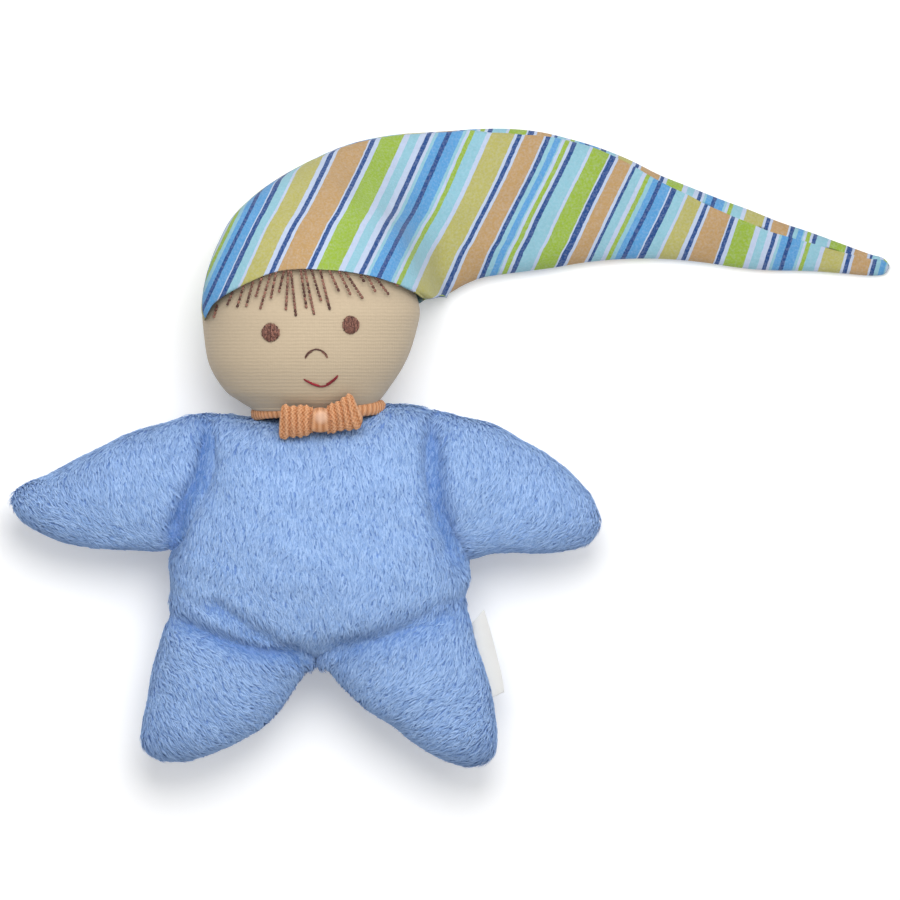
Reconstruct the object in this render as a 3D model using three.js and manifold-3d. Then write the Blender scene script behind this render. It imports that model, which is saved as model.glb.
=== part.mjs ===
// Rattle doll: a flat, star-shaped plush body with a jersey head, a long striped cap, a knitted neck
// band with a bow, and a hard rattle sewn into the belly. It lies on its back.
// Millimetres. +Z is up, out of the chest, +Y runs towards the head, and +X is the doll's own left.
// The origin is the middle of the flat patch of the back, on the surface that the doll lies on.
import * as THREE from 'three';
import { mergeVertices } from 'three/addons/utils/BufferGeometryUtils.js';
import Module from 'manifold-3d';

// Body
const BODY_WIDTH = 90;
const BODY_LENGTH = 75.4;
const BODY_DEPTH = 45;
const REST_FLAT = 0.5;

// Limbs: the reach from the crease to the tip, the length of the crease, and the depth of the filling
const LEFT_ARM_REACH = 41.5;
const RIGHT_ARM_REACH = 50.2;
const ARM_ROOT = 45;
const ARM_DEPTH = 25;
const LEFT_LEG_REACH = 47.3;
const RIGHT_LEG_REACH = 42.6;
const LEG_ROOT = 45.6;
const LEG_DEPTH = 28;
const LIMB_FOLD_UP = 45;
const LIMB_FOLD_DOWN = 12;
const LIMB_DROOP = 2;

// Head and face
const HEAD_WIDTH = 66;
const HEAD_LENGTH = 66.5;
const HEAD_DEPTH = 54;
const FACE_TILT = 5.4;
const EYE_SPACING = 23.7;
const EYE_WIDTH = 5.2;
const EYE_HEIGHT = 5.9;
const NOSE_WIDTH = 6.6;
const MOUTH_WIDTH = 10.6;
const THREAD_WIDTH = 0.7;
const THREAD_PROUD = 0.35;
const FRINGE_LINES = 21;
const FRINGE_LENGTH = 9;

// Neck
const NECK_WIDTH = 37;
const NECK_DEPTH = 26;
const NECK_BALL_RADIUS = 11;
const BAND_HEIGHT = 3.2;
const BAND_THICKNESS = 2.2;
const TIE_RADIUS = 0.5;
const HEAD_NOD = 20;
const HEAD_TILT_LEFT = 8;
const HEAD_TILT_RIGHT = 4;
const BOW_WING = 8.2;
const BOW_HEIGHT = 8.6;
const BOW_THICKNESS = 2.6;
const KNOT_WIDTH = 5.6;

// Cap
const CAP_CLOTH = 1.2;
const CAP_TAIL_LENGTH = 125;
const CAP_ROOT = 46.4;
const CAP_ROOT_DEPTH = 15;
const CAP_FOLD = 60;
const TIP_FOLD = 75;

// Label
const LABEL_START = 2.8;
const LABEL_LENGTH = 22.8;
const LABEL_PROUD = 4.2;
const LABEL_THICKNESS = 0.6;

// Rattle
const RATTLE_RADIUS = 14;
const RATTLE_WALL = 1.4;
const RATTLE_LIP = 2;
const PELLET_RADIUS = 2.4;
const PELLET_SPREAD = 5.5;
const PELLETS = 4;
const SLIT_LENGTH = 14;
const SLIT_WIDTH = 1.4;
const STITCH_COUNT = 6;

// Clearances
const TOUCH_GAP = 0.3;
const SEAT_GAP = 0.6;
const THREAD_GAP = 0.25;
const CREASE_GAP = 0.4;
const BEVEL_SPARE = 4;

const wasm = await Module();
wasm.setup();

const radians = THREE.MathUtils.degToRad;
const FAR = 400;

// A solid for joining and cutting, from a closed geometry.
function solidFrom(geometry) {
  const bare = geometry.clone();
  bare.deleteAttribute('normal');
  bare.deleteAttribute('uv');
  const merged = mergeVertices(bare, 1e-4);
  const triVerts = new Uint32Array(merged.index.array);
  return new wasm.Manifold(new wasm.Mesh({
    numProp: 3,
    vertProperties: merged.attributes.position.array,
    triVerts,
  }));
}

// The geometry of a solid, shaded flat.
function geometryFrom(solid) {
  const mesh = solid.getMesh();
  const geometry = new THREE.BufferGeometry();
  geometry.setAttribute('position', new THREE.BufferAttribute(new Float32Array(mesh.vertProperties), 3));
  geometry.setIndex(new THREE.BufferAttribute(new Uint32Array(mesh.triVerts), 1));
  const shaded = geometry.toNonIndexed();
  shaded.computeVertexNormals();
  return shaded;
}

// A closed mesh from rings of points between two end points. Each ring runs the same way round.
function skinRings(startPoint, rings, endPoint) {
  const sides = rings[0].length;
  const points = [startPoint, ...rings.flat(), endPoint];
  const index = [];
  const at = (ring, side) => 1 + ring * sides + (side % sides);
  for (let side = 0; side < sides; side++) {
    index.push(0, at(0, side + 1), at(0, side));
    index.push(points.length - 1, at(rings.length - 1, side), at(rings.length - 1, side + 1));
    for (let ring = 0; ring + 1 < rings.length; ring++) {
      index.push(at(ring, side), at(ring, side + 1), at(ring + 1, side));
      index.push(at(ring, side + 1), at(ring + 1, side + 1), at(ring + 1, side));
    }
  }
  return closedGeometry(points, index);
}

// A geometry from points and triangles, turned inside out if its faces point inwards.
function closedGeometry(points, index) {
  let volume = 0;
  for (let i = 0; i < index.length; i += 3) {
    const [a, b, c] = [points[index[i]], points[index[i + 1]], points[index[i + 2]]];
    volume += a.dot(new THREE.Vector3().crossVectors(b, c));
  }
  if (volume < 0) index.reverse();
  const geometry = new THREE.BufferGeometry().setFromPoints(points);
  geometry.setIndex(index);
  return geometry;
}

// A smooth value between rows of numbers: a cubic through the rows, at the given row and share.
function between(rows, row, share) {
  const last = rows.length - 1;
  const [p0, p1, p2, p3] = [-1, 0, 1, 2].map((step) => rows[THREE.MathUtils.clamp(row + step, 0, last)]);
  return p1.map((value, column) => {
    const slopeIn = (p2[column] - p0[column]) / 2;
    const slopeOut = (p3[column] - p1[column]) / 2;
    const s2 = share * share;
    const s3 = s2 * share;
    return value * (2 * s3 - 3 * s2 + 1) + slopeIn * (s3 - 2 * s2 + share)
      + p2[column] * (3 * s2 - 2 * s3) + slopeOut * (s3 - s2);
  });
}

// A stuffed form. Its place has an origin, the heading of its length, and a side, +1 or -1, that says
// which way its width runs. A station is [distance along, far edge, near edge, half depth, lift], and
// its section is an ellipse. Both ends are closed by half ellipsoids of the given lengths. Growing
// it moves its whole surface outwards.
function stuffedForm(place, form, grow = 0) {
  const along = new THREE.Vector3(Math.cos(radians(place.heading)), Math.sin(radians(place.heading)), 0);
  const across = new THREE.Vector3(-along.y, along.x, 0).multiplyScalar(place.side);
  const toWorld = (distance, width, height) => new THREE.Vector3(...place.origin)
    .addScaledVector(along, distance).addScaledVector(across, width).add(new THREE.Vector3(0, 0, height));
  const sides = form.sides ?? 28;
  const ring = ([distance, far, near, halfDepth, lift], scale = 1) => Array.from({ length: sides }, (_, side) => {
    const angle = (side / sides) * 2 * Math.PI;
    const halfWidth = ((far - near) / 2 + grow) * scale;
    const height = (halfDepth + grow) * scale * Math.sin(angle);
    return toWorld(distance, (far + near) / 2 + halfWidth * Math.cos(angle), lift + height);
  });
  const rings = [];
  const first = form.stations[0];
  const last = form.stations.at(-1);
  const domeSteps = form.domeSteps ?? 4;
  for (let step = domeSteps - 1; step > 0; step--) {
    const angle = (step / domeSteps) * Math.PI / 2;
    const moved = [...first];
    moved[0] -= (form.startDome + grow) * Math.sin(angle);
    rings.push(ring(moved, Math.cos(angle)));
  }
  const steps = form.steps ?? 2;
  for (let row = 0; row + 1 < form.stations.length; row++) {
    for (let step = 0; step < steps; step++) rings.push(ring(between(form.stations, row, step / steps)));
  }
  rings.push(ring(last));
  for (let step = 1; step < domeSteps; step++) {
    const angle = (step / domeSteps) * Math.PI / 2;
    const moved = [...last];
    moved[0] += (form.endDome + grow) * Math.sin(angle);
    moved[1] += (form.endShift ?? 0) * Math.sin(angle);
    moved[2] += (form.endShift ?? 0) * Math.sin(angle);
    rings.push(ring(moved, Math.cos(angle)));
  }
  const middle = (station) => (station[1] + station[2]) / 2;
  const start = toWorld(first[0] - form.startDome - grow, middle(first), first[4]);
  const end = toWorld(last[0] + form.endDome + grow, middle(last) + (form.endShift ?? 0), last[4]);
  return solidFrom(skinRings(start, rings, end));
}

// Stations written as shares of a form's reach, half its root and half its depth.
function scaledStations(shares, reach, root, depth, droop = 0) {
  return shares.map(([distance, far, near, thick]) => [
    distance * reach,
    far * root / 2,
    near * root / 2,
    thick * depth / 2,
    -droop * distance,
  ]);
}

// A plain block between two corners.
function block(low, high) {
  const size = new THREE.Vector3(...high).sub(new THREE.Vector3(...low));
  const geometry = new THREE.BoxGeometry(size.x, size.y, size.z);
  geometry.translate(low[0] + size.x / 2, low[1] + size.y / 2, low[2] + size.z / 2);
  return solidFrom(geometry);
}

// An ellipsoid with its half sizes, at a centre.
function ellipsoid(centre, halves, segments = 24) {
  const geometry = new THREE.SphereGeometry(1, segments, segments / 2);
  geometry.rotateX(Math.PI / 2);
  geometry.scale(...halves);
  geometry.translate(...centre);
  return solidFrom(geometry);
}

// A solid below the surface that the doll lies on, which cuts its flat patches.
const ground = block([-FAR, -FAR, -FAR], [FAR, FAR, 0]);

// The room that a hinged limb needs in the piece that holds it: everything beyond the crease, the
// round seat of the limb's knuckle, and a bevel that the limb folds up against.
function hingeBay(place, form, foldUp, foldDown) {
  const [, far, near, halfDepth] = form.stations[0];
  const reach = FAR / 2;
  const length = 1.4 * (far - near);
  const beyond = new THREE.BoxGeometry(reach, 2 * length, reach);
  beyond.translate(reach / 2 - CREASE_GAP, (far + near) / 2, 0);
  const parts = [beyond];
  for (const [fold, up] of [[foldUp, 1], [foldDown, -1]]) {
    const radius = halfDepth + SEAT_GAP;
    const angle = radians(fold + BEVEL_SPARE);
    const touch = new THREE.Vector2(-radius * Math.sin(angle), up * radius * Math.cos(angle));
    const out = new THREE.Vector2(Math.cos(angle), up * Math.sin(angle)).multiplyScalar(reach / 2);
    const axis = new THREE.Vector2(0, 0);
    const shape = new THREE.Shape([axis, touch, touch.clone().add(out), new THREE.Vector2(reach / 2, 0)]);
    const bevel = new THREE.ExtrudeGeometry(shape, { depth: length, bevelEnabled: false });
    bevel.rotateX(Math.PI / 2);
    bevel.translate(0, length / 2 + (far + near) / 2, 0);
    parts.push(bevel);
  }
  const seat = stuffedForm(place, form, SEAT_GAP);
  return parts.reduce((whole, geometry) => {
    if (place.side < 0) geometry.scale(1, -1, 1);
    geometry.rotateZ(radians(place.heading));
    geometry.translate(...place.origin);
    if (place.side < 0) flip(geometry);
    return whole.add(solidFrom(geometry));
  }, seat);
}

// Turns each triangle of a mirrored geometry the right way round.
function flip(geometry) {
  if (!geometry.index) geometry.setIndex([...Array(geometry.attributes.position.count).keys()]);
  geometry.setIndex([...geometry.index.array].reverse());
}

// Body: a pillow with a seam all round, its back cut flat, and a pocket for the rattle.
const seamHeight = BODY_DEPTH / 2 - REST_FLAT;
const bodyX = (share) => share * BODY_WIDTH / 2;
const bodyY = (share) => share * BODY_LENGTH / 2;
const bodyForm = {
  sides: 28,
  startDome: 4,
  endDome: 1.5,
  stations: [
    [-1.36, 0.62, -0.62, 0.40], [-1.16, 0.92, -0.92, 0.66], [-0.86, 1.03, -1.04, 0.84],
    [-0.5, 1.01, -1.02, 0.96], [-0.1, 1.03, -1.03, 1.0], [0.4, 1.13, -1.12, 0.93],
    [0.74, 1.14, -1.12, 0.76], [0.93, 1.06, -1.04, 0.5], [0.985, 0.92, -0.9, 0.24],
  ].map(([y, far, near, thick]) => [bodyY(y), -bodyX(near), -bodyX(far), thick * BODY_DEPTH / 2, 0]),
};
const bodyPlace = { origin: [0, 0, seamHeight], heading: 90, side: 1 };

const armShares = {
  left: [[0, 1, -1, 1], [0.17, 0.89, -1.0, 0.99], [0.4, 0.68, -1.0, 0.95], [0.63, 0.34, -1.03, 0.84],
    [0.81, 0.01, -1.0, 0.68]],
  right: [[0, 1, -1, 1], [0.12, 0.93, -1.07, 0.99], [0.3, 0.63, -1.14, 0.95], [0.55, 0.24, -1.21, 0.86],
    [0.78, -0.14, -1.16, 0.68], [0.88, -0.36, -1.08, 0.52]],
};
const legShares = {
  left: [[0, 1, -1, 1], [0.12, 1.0, -0.93, 1], [0.28, 0.98, -0.8, 0.98], [0.45, 0.95, -0.66, 0.95],
    [0.64, 0.9, -0.4, 0.88], [0.8, 0.8, -0.15, 0.74]],
  right: [[0, 1, -1, 1], [0.1, 1.08, -0.95, 1], [0.28, 1.07, -0.84, 0.98], [0.46, 1.04, -0.73, 0.95],
    [0.66, 1.02, -0.48, 0.88], [0.82, 0.94, -0.2, 0.74]],
};

// A limb is its place on the body and its form, from the knuckle in the body to the rounded tip.
function limb(x, y, heading, side, shares, reach, root, depth, endShift) {
  const stations = scaledStations(shares, reach, root, depth, LIMB_DROOP);
  return {
    place: { origin: [bodyX(x), bodyY(y), seamHeight], heading, side },
    form: {
      sides: 20,
      startDome: depth / 2,
      endDome: reach - stations.at(-1)[0],
      endShift,
      stations,
    },
  };
}
const limbs = {
  left_arm: limb(0.9, 0.41, 10.5, 1, armShares.left, LEFT_ARM_REACH, ARM_ROOT, ARM_DEPTH, -5.5),
  right_arm: limb(-0.895, 0.44, 166, -1, armShares.right, RIGHT_ARM_REACH, ARM_ROOT, ARM_DEPTH, -1.6),
  left_leg: limb(0.489, -0.743, -68.9, 1, legShares.left, LEFT_LEG_REACH, LEG_ROOT, LEG_DEPTH, 1.8),
  right_leg: limb(-0.511, -0.782, -108.4, -1, legShares.right, RIGHT_LEG_REACH, LEG_ROOT, LEG_DEPTH, 3),
};

// Neck: a ball of filling between the body and the head, in the middle of the knitted band.
const neckX = bodyX(-0.011);
const neckY = bodyY(1.03);
const neckZ = seamHeight + 3;
const tiltPoint = [neckX, neckY, neckZ];
const bandBottom = neckY - BAND_HEIGHT / 2;
const bandTop = neckY + BAND_HEIGHT / 2;

// The room above the body's neckline, at the two ends of the head's tilt.
function neckline() {
  return [HEAD_TILT_RIGHT, 0, -HEAD_TILT_LEFT].map((tilt) => {
    const half = NECK_WIDTH / 2 + BAND_THICKNESS / 2 + 2 * TOUCH_GAP;
    const drop = BAND_HEIGHT / 2 + TOUCH_GAP;
    const geometry = new THREE.BoxGeometry(2 * half, FAR, FAR);
    geometry.translate(0, FAR / 2 - drop, 0);
    geometry.rotateZ(radians(tilt));
    geometry.translate(...tiltPoint);
    return solidFrom(geometry);
  });
}

const pocketRadius = RATTLE_RADIUS + TOUCH_GAP;
const slitY = bodyY(-0.2);
const stitchDepth = 1.6;

function makeTorso() {
  let torso = stuffedForm(bodyPlace, bodyForm).subtract(ground);
  for (const { place, form } of Object.values(limbs)) {
    torso = torso.subtract(hingeBay(place, form, LIMB_FOLD_UP, LIMB_FOLD_DOWN));
  }
  for (const room of neckline()) torso = torso.subtract(room);
  const neckRoom = NECK_BALL_RADIUS + TOUCH_GAP;
  torso = torso.subtract(ellipsoid(tiltPoint, [neckRoom, neckRoom, neckRoom]));
  torso = torso.subtract(ellipsoid([0, 0, seamHeight], [pocketRadius, pocketRadius, pocketRadius]));
  const slit = block([-SLIT_LENGTH / 2, slitY - SLIT_WIDTH / 2, -1], [SLIT_LENGTH / 2, slitY + SLIT_WIDTH / 2,
    seamHeight - pocketRadius * 0.8]);
  const stitchRoom = block([-SLIT_LENGTH / 2 - 2, slitY - SLIT_WIDTH - 1, -1],
    [SLIT_LENGTH / 2 + 2, slitY + SLIT_WIDTH + 1, stitchDepth]);
  return torso.subtract(slit).subtract(stitchRoom);
}

// The thread that closes the turning slit: one zigzag across it.
function makeClosingStitches() {
  const points = [];
  for (let stitch = 0; stitch <= 2 * STITCH_COUNT; stitch++) {
    const x = (stitch / (2 * STITCH_COUNT) - 0.5) * (SLIT_LENGTH + 1.5);
    const y = slitY + (stitch % 2 ? 1 : -1) * (SLIT_WIDTH / 2 + 0.6);
    points.push(new THREE.Vector3(x, y, stitchDepth - TOUCH_GAP - THREAD_PROUD));
  }
  return tube(new THREE.CatmullRomCurve3(points), THREAD_PROUD, 4 * STITCH_COUNT, 5);
}

// A round tube along an open curve.
function tube(curve, radius, steps, sides) {
  const section = new THREE.Shape();
  for (let side = 0; side < sides; side++) {
    const angle = (side / sides) * 2 * Math.PI;
    const [x, y] = [radius * Math.cos(angle), radius * Math.sin(angle)];
    if (side) section.lineTo(x, y);
    else section.moveTo(x, y);
  }
  return new THREE.ExtrudeGeometry(section, { steps, extrudePath: curve, bevelEnabled: false });
}

// A closed band round the neck: an oval ring with an oval section.
function ovalRing(centre, halfWidth, halfDepth, height, thickness, steps = 32, sides = 8) {
  const points = [];
  const index = [];
  for (let step = 0; step < steps; step++) {
    const turn = (step / steps) * 2 * Math.PI;
    const out = new THREE.Vector3(halfDepth * Math.cos(turn), 0, halfWidth * Math.sin(turn)).normalize();
    for (let side = 0; side < sides; side++) {
      const angle = (side / sides) * 2 * Math.PI;
      points.push(new THREE.Vector3(halfWidth * Math.cos(turn), 0, halfDepth * Math.sin(turn))
        .addScaledVector(out, thickness / 2 * Math.cos(angle))
        .add(new THREE.Vector3(centre[0], centre[1] + height / 2 * Math.sin(angle), centre[2])));
      const at = (s, k) => (s % steps) * sides + (k % sides);
      index.push(at(step, side), at(step + 1, side), at(step, side + 1));
      index.push(at(step + 1, side), at(step + 1, side + 1), at(step, side + 1));
    }
  }
  return closedGeometry(points, index);
}

// Head: fuller at the cheeks than at the crown, with the back of the cap between it and the surface.
const capGap = THREAD_GAP + THREAD_PROUD + TOUCH_GAP;
const headZ = HEAD_DEPTH / 2 + capGap + CAP_CLOTH - REST_FLAT;
const headBottom = bandTop + TOUCH_GAP;
const headX = neckX - 0.03 * HEAD_WIDTH;
const headForm = {
  sides: 28,
  startDome: 1.2,
  endDome: 5.5,
  stations: [
    [0.02, 0.54, -0.52, 0.46], [0.07, 0.68, -0.66, 0.64], [0.16, 0.84, -0.84, 0.83],
    [0.3, 0.96, -0.95, 0.95], [0.48, 1.0, -1.0, 1], [0.65, 0.97, -0.93, 0.97],
    [0.82, 0.78, -0.76, 0.82], [0.915, 0.55, -0.53, 0.58],
  ].map(([y, far, near, thick]) => [y * HEAD_LENGTH, far * HEAD_WIDTH / 2, near * HEAD_WIDTH / 2,
    thick * HEAD_DEPTH / 2, 0]),
};
const headPlace = { origin: [headX, headBottom, headZ], heading: 90, side: 1 };
const headSolid = (grow) => stuffedForm(headPlace, headForm, grow);

function makeHead() {
  const room = NECK_BALL_RADIUS + TOUCH_GAP;
  return headSolid(0).subtract(ellipsoid(tiltPoint, [room, room, room]))
    .subtract(block([-FAR, -FAR, -FAR], [FAR, headBottom, FAR]));
}

// Face: embroidery is a thin layer just over the head, in the outline of its stitches.
const skinUnder = headSolid(THREAD_GAP);
const skinOver = headSolid(THREAD_GAP + THREAD_PROUD);
const embroideryLayer = skinOver.subtract(skinUnder);
const faceMiddle = [headX - 0.002 * HEAD_WIDTH, headBottom + 0.335 * HEAD_LENGTH];

// A point of the face: to the doll's left and up from the middle between the eyes.
function onFace(left, up) {
  const tilt = radians(FACE_TILT);
  return new THREE.Vector2(faceMiddle[0] + left * Math.cos(tilt) - up * Math.sin(tilt),
    faceMiddle[1] + left * Math.sin(tilt) + up * Math.cos(tilt));
}

// A column through the face with the given outline, which cuts a patch from the embroidery layer.
function column(outline) {
  const geometry = new THREE.ExtrudeGeometry(new THREE.Shape(outline), {
    depth: HEAD_DEPTH, bevelEnabled: false,
  });
  geometry.translate(0, 0, headZ + 1);
  return solidFrom(geometry);
}

function ovalOutline(left, up, width, height, sides = 16) {
  return Array.from({ length: sides }, (_, side) => {
    const angle = (side / sides) * 2 * Math.PI;
    return onFace(left + width / 2 * Math.cos(angle), up + height / 2 * Math.sin(angle));
  });
}

// The outline of one line of thread that bends like an arc between its ends, rising in the middle.
function arcOutline(left, up, width, rise, thread, steps = 8) {
  const over = [];
  const under = [];
  for (let step = 0; step <= steps; step++) {
    const share = (step / steps) * 2 - 1;
    const height = rise * (1 - share * share);
    over.push(onFace(left + share * width / 2, up + height + thread / 2));
    under.unshift(onFace(left + share * width / 2, up + height - thread / 2));
  }
  return [...over, ...under];
}

// The brim is a slanting plane: high over the forehead, low at the nape and at the doll's right.
const brimY = bandTop + 0.43 * HEAD_LENGTH;
const brimSlopeX = 0.09;
const brimSlopeZ = 0.487;
function aboveBrim(raise = 0) {
  const normal = new THREE.Vector3(-brimSlopeX, 1, -brimSlopeZ).normalize();
  const geometry = new THREE.BoxGeometry(FAR, FAR, FAR);
  geometry.translate(0, FAR / 2, 0);
  geometry.applyQuaternion(new THREE.Quaternion().setFromUnitVectors(new THREE.Vector3(0, 1, 0), normal));
  geometry.translate(headX, brimY + raise, headZ);
  return solidFrom(geometry);
}

// Fringe: lines of thread that fan down from under the brim, long and short by turns, joined there.
function makeFringe() {
  const rows = [];
  const halfBrim = 0.39 * HEAD_WIDTH;
  for (let line = 0; line < FRINGE_LINES; line++) {
    const share = (line / (FRINGE_LINES - 1)) * 2 - 1;
    const root = new THREE.Vector2(headX + share * halfBrim,
      brimY + brimSlopeZ * HEAD_DEPTH / 2 * Math.sqrt(1 - 0.78 * share * share) + brimSlopeX * share * halfBrim + 4);
    const length = 4 + FRINGE_LENGTH * (1 - 0.5 * share * share) * (line % 2 ? 1.3 : 0.9);
    const lean = radians(6 + 24 * share);
    const end = root.clone().add(new THREE.Vector2(length * Math.sin(lean), -length * Math.cos(lean)));
    const side = new THREE.Vector2(Math.cos(lean), Math.sin(lean)).multiplyScalar(THREAD_WIDTH / 3);
    rows.push(column([root.clone().sub(side), end.clone().sub(side), end.clone().add(side),
      root.clone().add(side)]));
  }
  const underBrim = aboveBrim(TOUCH_GAP).subtract(aboveBrim(TOUCH_GAP + THREAD_WIDTH))
    .intersect(block([headX - halfBrim - 1, 0, headZ + 2], [headX + halfBrim + 1, FAR, FAR]));
  return wasm.Manifold.union([...rows, underBrim]).intersect(embroideryLayer);
}

// Cap: the crown fits the head, and the cloth runs on to the doll's left into a long flat tail, which
// lies on the surface. Its hinges are the two places where the limp cloth folds.
const capRoot = headX + 0.735 * HEAD_WIDTH;
const capTop = headBottom + 1.25 * HEAD_LENGTH;
const tailSpan = (share) => capTop - CAP_ROOT * share;
const tailForm = (rows, place, endDome, endShift) => ({
  sides: 16,
  startDome: rows[0][3] * CAP_ROOT_DEPTH / 2,
  endDome,
  endShift,
  stations: rows.map(([along, top, bottom, thick]) => [
    along * CAP_TAIL_LENGTH - (place.origin[0] - capRoot),
    tailSpan(top) - place.origin[1],
    tailSpan(bottom) - place.origin[1],
    thick * CAP_ROOT_DEPTH / 2,
    thick * CAP_ROOT_DEPTH / 2 - REST_FLAT - place.origin[2],
  ]),
});
const tailPlace = (along, middle, thick) => ({
  origin: [capRoot + along * CAP_TAIL_LENGTH, tailSpan(middle), thick * CAP_ROOT_DEPTH / 2 - REST_FLAT],
  heading: 0,
  side: 1,
});
const rootPlace = tailPlace(0, 0.5, 1);
const tipPlace = tailPlace(0.47, 0.59, 0.62);
const upperTail = tailForm([[0, 0, 1, 1], [0.11, 0, 0.93, 0.88], [0.23, 0.06, 0.89, 0.8],
  [0.35, 0.165, 0.855, 0.72], [0.43, 0.26, 0.855, 0.66]], rootPlace, 4, -1);
const lowerTail = tailForm([[0.47, 0.325, 0.855, 0.62], [0.6, 0.46, 0.89, 0.52], [0.72, 0.57, 0.925, 0.42],
  [0.84, 0.69, 0.94, 0.33], [0.95, 0.8, 0.955, 0.25]], tipPlace, 0.05 * CAP_TAIL_LENGTH, -0.6);

function makeCapCrown() {
  const gusset = {
    sides: 24,
    startDome: 9,
    endDome: 4,
    steps: 1,
    stations: [
      [-0.28, 0.94, 0.7, 0.5, 0], [-0.1, 1.06, 0.6, 0.58, 0], [0.12, 1.15, 0.54, 0.62, -0.05], [0.36, 1.22, 0.48, 0.55, -0.25],
      [0.58, 1.242, 0.455, 0.4, -0.5], [0.75, 1.25, 0.54, 0.28, -0.73], [0.9, 1.25, 0.57, 0.24, -0.78],
    ].map(([x, top, bottom, thick, drop]) => [x * HEAD_WIDTH, top * HEAD_LENGTH, bottom * HEAD_LENGTH,
      thick * HEAD_DEPTH / 2, drop * HEAD_DEPTH / 2]),
  };
  const gussetPlace = { origin: [headX, headBottom, headZ], heading: 0, side: 1 };
  return headSolid(capGap + CAP_CLOTH).add(stuffedForm(gussetPlace, gusset))
    .intersect(aboveBrim()).subtract(headSolid(capGap)).subtract(ground)
    .subtract(hingeBay(rootPlace, upperTail, CAP_FOLD, 0));
}

function makeUpperTail() {
  return stuffedForm(rootPlace, upperTail).subtract(ground).subtract(hingeBay(tipPlace, lowerTail, TIP_FOLD, 0));
}

// Bow: two short knitted wings and a knot, in front of the band, leaning back against the chin.
const bandFront = neckZ + NECK_DEPTH / 2 + BAND_THICKNESS / 2;
const bowPlane = {
  origin: new THREE.Vector3(neckX, bandBottom - 0.1 * BOW_HEIGHT, bandFront + TOUCH_GAP + 0.4 * BOW_THICKNESS),
  lean: 36,
};
function onBow(across, up, out) {
  const lean = radians(bowPlane.lean);
  return bowPlane.origin.clone().add(new THREE.Vector3(across,
    up * Math.cos(lean) - out * Math.sin(lean), up * Math.sin(lean) + out * Math.cos(lean)));
}
// A wing is a flat pouch that fans out from the knot and rises or falls along its length.
function makeWing(direction, rise) {
  const rows = [[0, 0.5, 0.8], [0.3, 0.74, 1], [0.7, 0.96, 0.95], [1, 1, 0.7]];
  const sides = 14;
  const rings = rows.map(([along, tall, thick]) => Array.from({ length: sides }, (_, side) => {
    const angle = (side / sides) * 2 * Math.PI;
    const across = direction * (KNOT_WIDTH / 2 + TOUCH_GAP + along * BOW_WING);
    return onBow(across, rise * along + tall * BOW_HEIGHT / 2 * Math.cos(angle),
      thick * BOW_THICKNESS / 2 * Math.sin(angle));
  }));
  const start = onBow(direction * (KNOT_WIDTH / 2 + TOUCH_GAP), 0, 0);
  const end = onBow(direction * (KNOT_WIDTH / 2 + TOUCH_GAP + 1.06 * BOW_WING), rise, 0);
  return skinRings(start, rings, end);
}
function makeKnot() {
  const geometry = new THREE.SphereGeometry(1, 16, 10);
  geometry.scale(KNOT_WIDTH / 2, BOW_HEIGHT * 0.43, BOW_THICKNESS * 0.75);
  geometry.rotateX(radians(bowPlane.lean));
  geometry.translate(...onBow(0, 0, 0.4).toArray());
  return geometry;
}

// Rattle: two halves of a hollow ball that lap at the middle, with loose pellets inside.
function rattleHalf(upper) {
  const inner = RATTLE_RADIUS - RATTLE_WALL;
  const lap = RATTLE_RADIUS - RATTLE_WALL / 2;
  const profile = [];
  const arc = (radius, from, to, steps = 7) => {
    for (let step = 0; step <= steps; step++) {
      const angle = from + (to - from) * step / steps;
      profile.push(new THREE.Vector2(Math.max(0, radius * Math.cos(angle)), radius * Math.sin(angle)));
    }
  };
  if (upper) {
    const start = Math.asin(TOUCH_GAP / RATTLE_RADIUS);
    arc(RATTLE_RADIUS, start, Math.PI / 2);
    arc(inner, Math.PI / 2, Math.asin((RATTLE_LIP + TOUCH_GAP) / inner));
    profile.push(new THREE.Vector2(lap + TOUCH_GAP / 2, RATTLE_LIP + TOUCH_GAP));
    profile.push(new THREE.Vector2(lap + TOUCH_GAP / 2, TOUCH_GAP));
  } else {
    arc(RATTLE_RADIUS, 0, -Math.PI / 2);
    arc(inner, -Math.PI / 2, 0);
    profile.push(new THREE.Vector2(inner, RATTLE_LIP));
    profile.push(new THREE.Vector2(lap - TOUCH_GAP / 2, RATTLE_LIP));
    profile.push(new THREE.Vector2(lap - TOUCH_GAP / 2, 0));
  }
  profile.push(profile[0].clone());
  const geometry = new THREE.LatheGeometry(profile, 20);
  geometry.rotateX(Math.PI / 2);
  geometry.translate(0, 0, seamHeight);
  return closedGeometry(...pointsAndIndex(geometry));
}

// The merged points and triangles of a geometry.
function pointsAndIndex(geometry) {
  geometry.deleteAttribute('normal');
  geometry.deleteAttribute('uv');
  const merged = mergeVertices(geometry, 1e-4);
  const position = merged.attributes.position;
  const points = Array.from({ length: position.count }, (_, i) => new THREE.Vector3().fromBufferAttribute(position, i));
  const triangles = [];
  for (let i = 0; i < merged.index.count; i += 3) {
    const corners = [0, 1, 2].map((corner) => merged.index.getX(i + corner));
    if (new Set(corners).size === 3) triangles.push(...corners);
  }
  return [points, triangles];
}

// A pellet lies on the rattle's curved floor, in its own column.
function makePellet(number) {
  const angle = ((number + 0.5) / PELLETS) * 2 * Math.PI;
  const floorRadius = RATTLE_RADIUS - RATTLE_WALL - PELLET_RADIUS - TOUCH_GAP;
  const depth = Math.sqrt(floorRadius * floorRadius - PELLET_SPREAD * PELLET_SPREAD);
  const geometry = new THREE.IcosahedronGeometry(PELLET_RADIUS, 2);
  geometry.translate(PELLET_SPREAD * Math.cos(angle), PELLET_SPREAD * Math.sin(angle), seamHeight - depth);
  return geometry;
}

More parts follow.
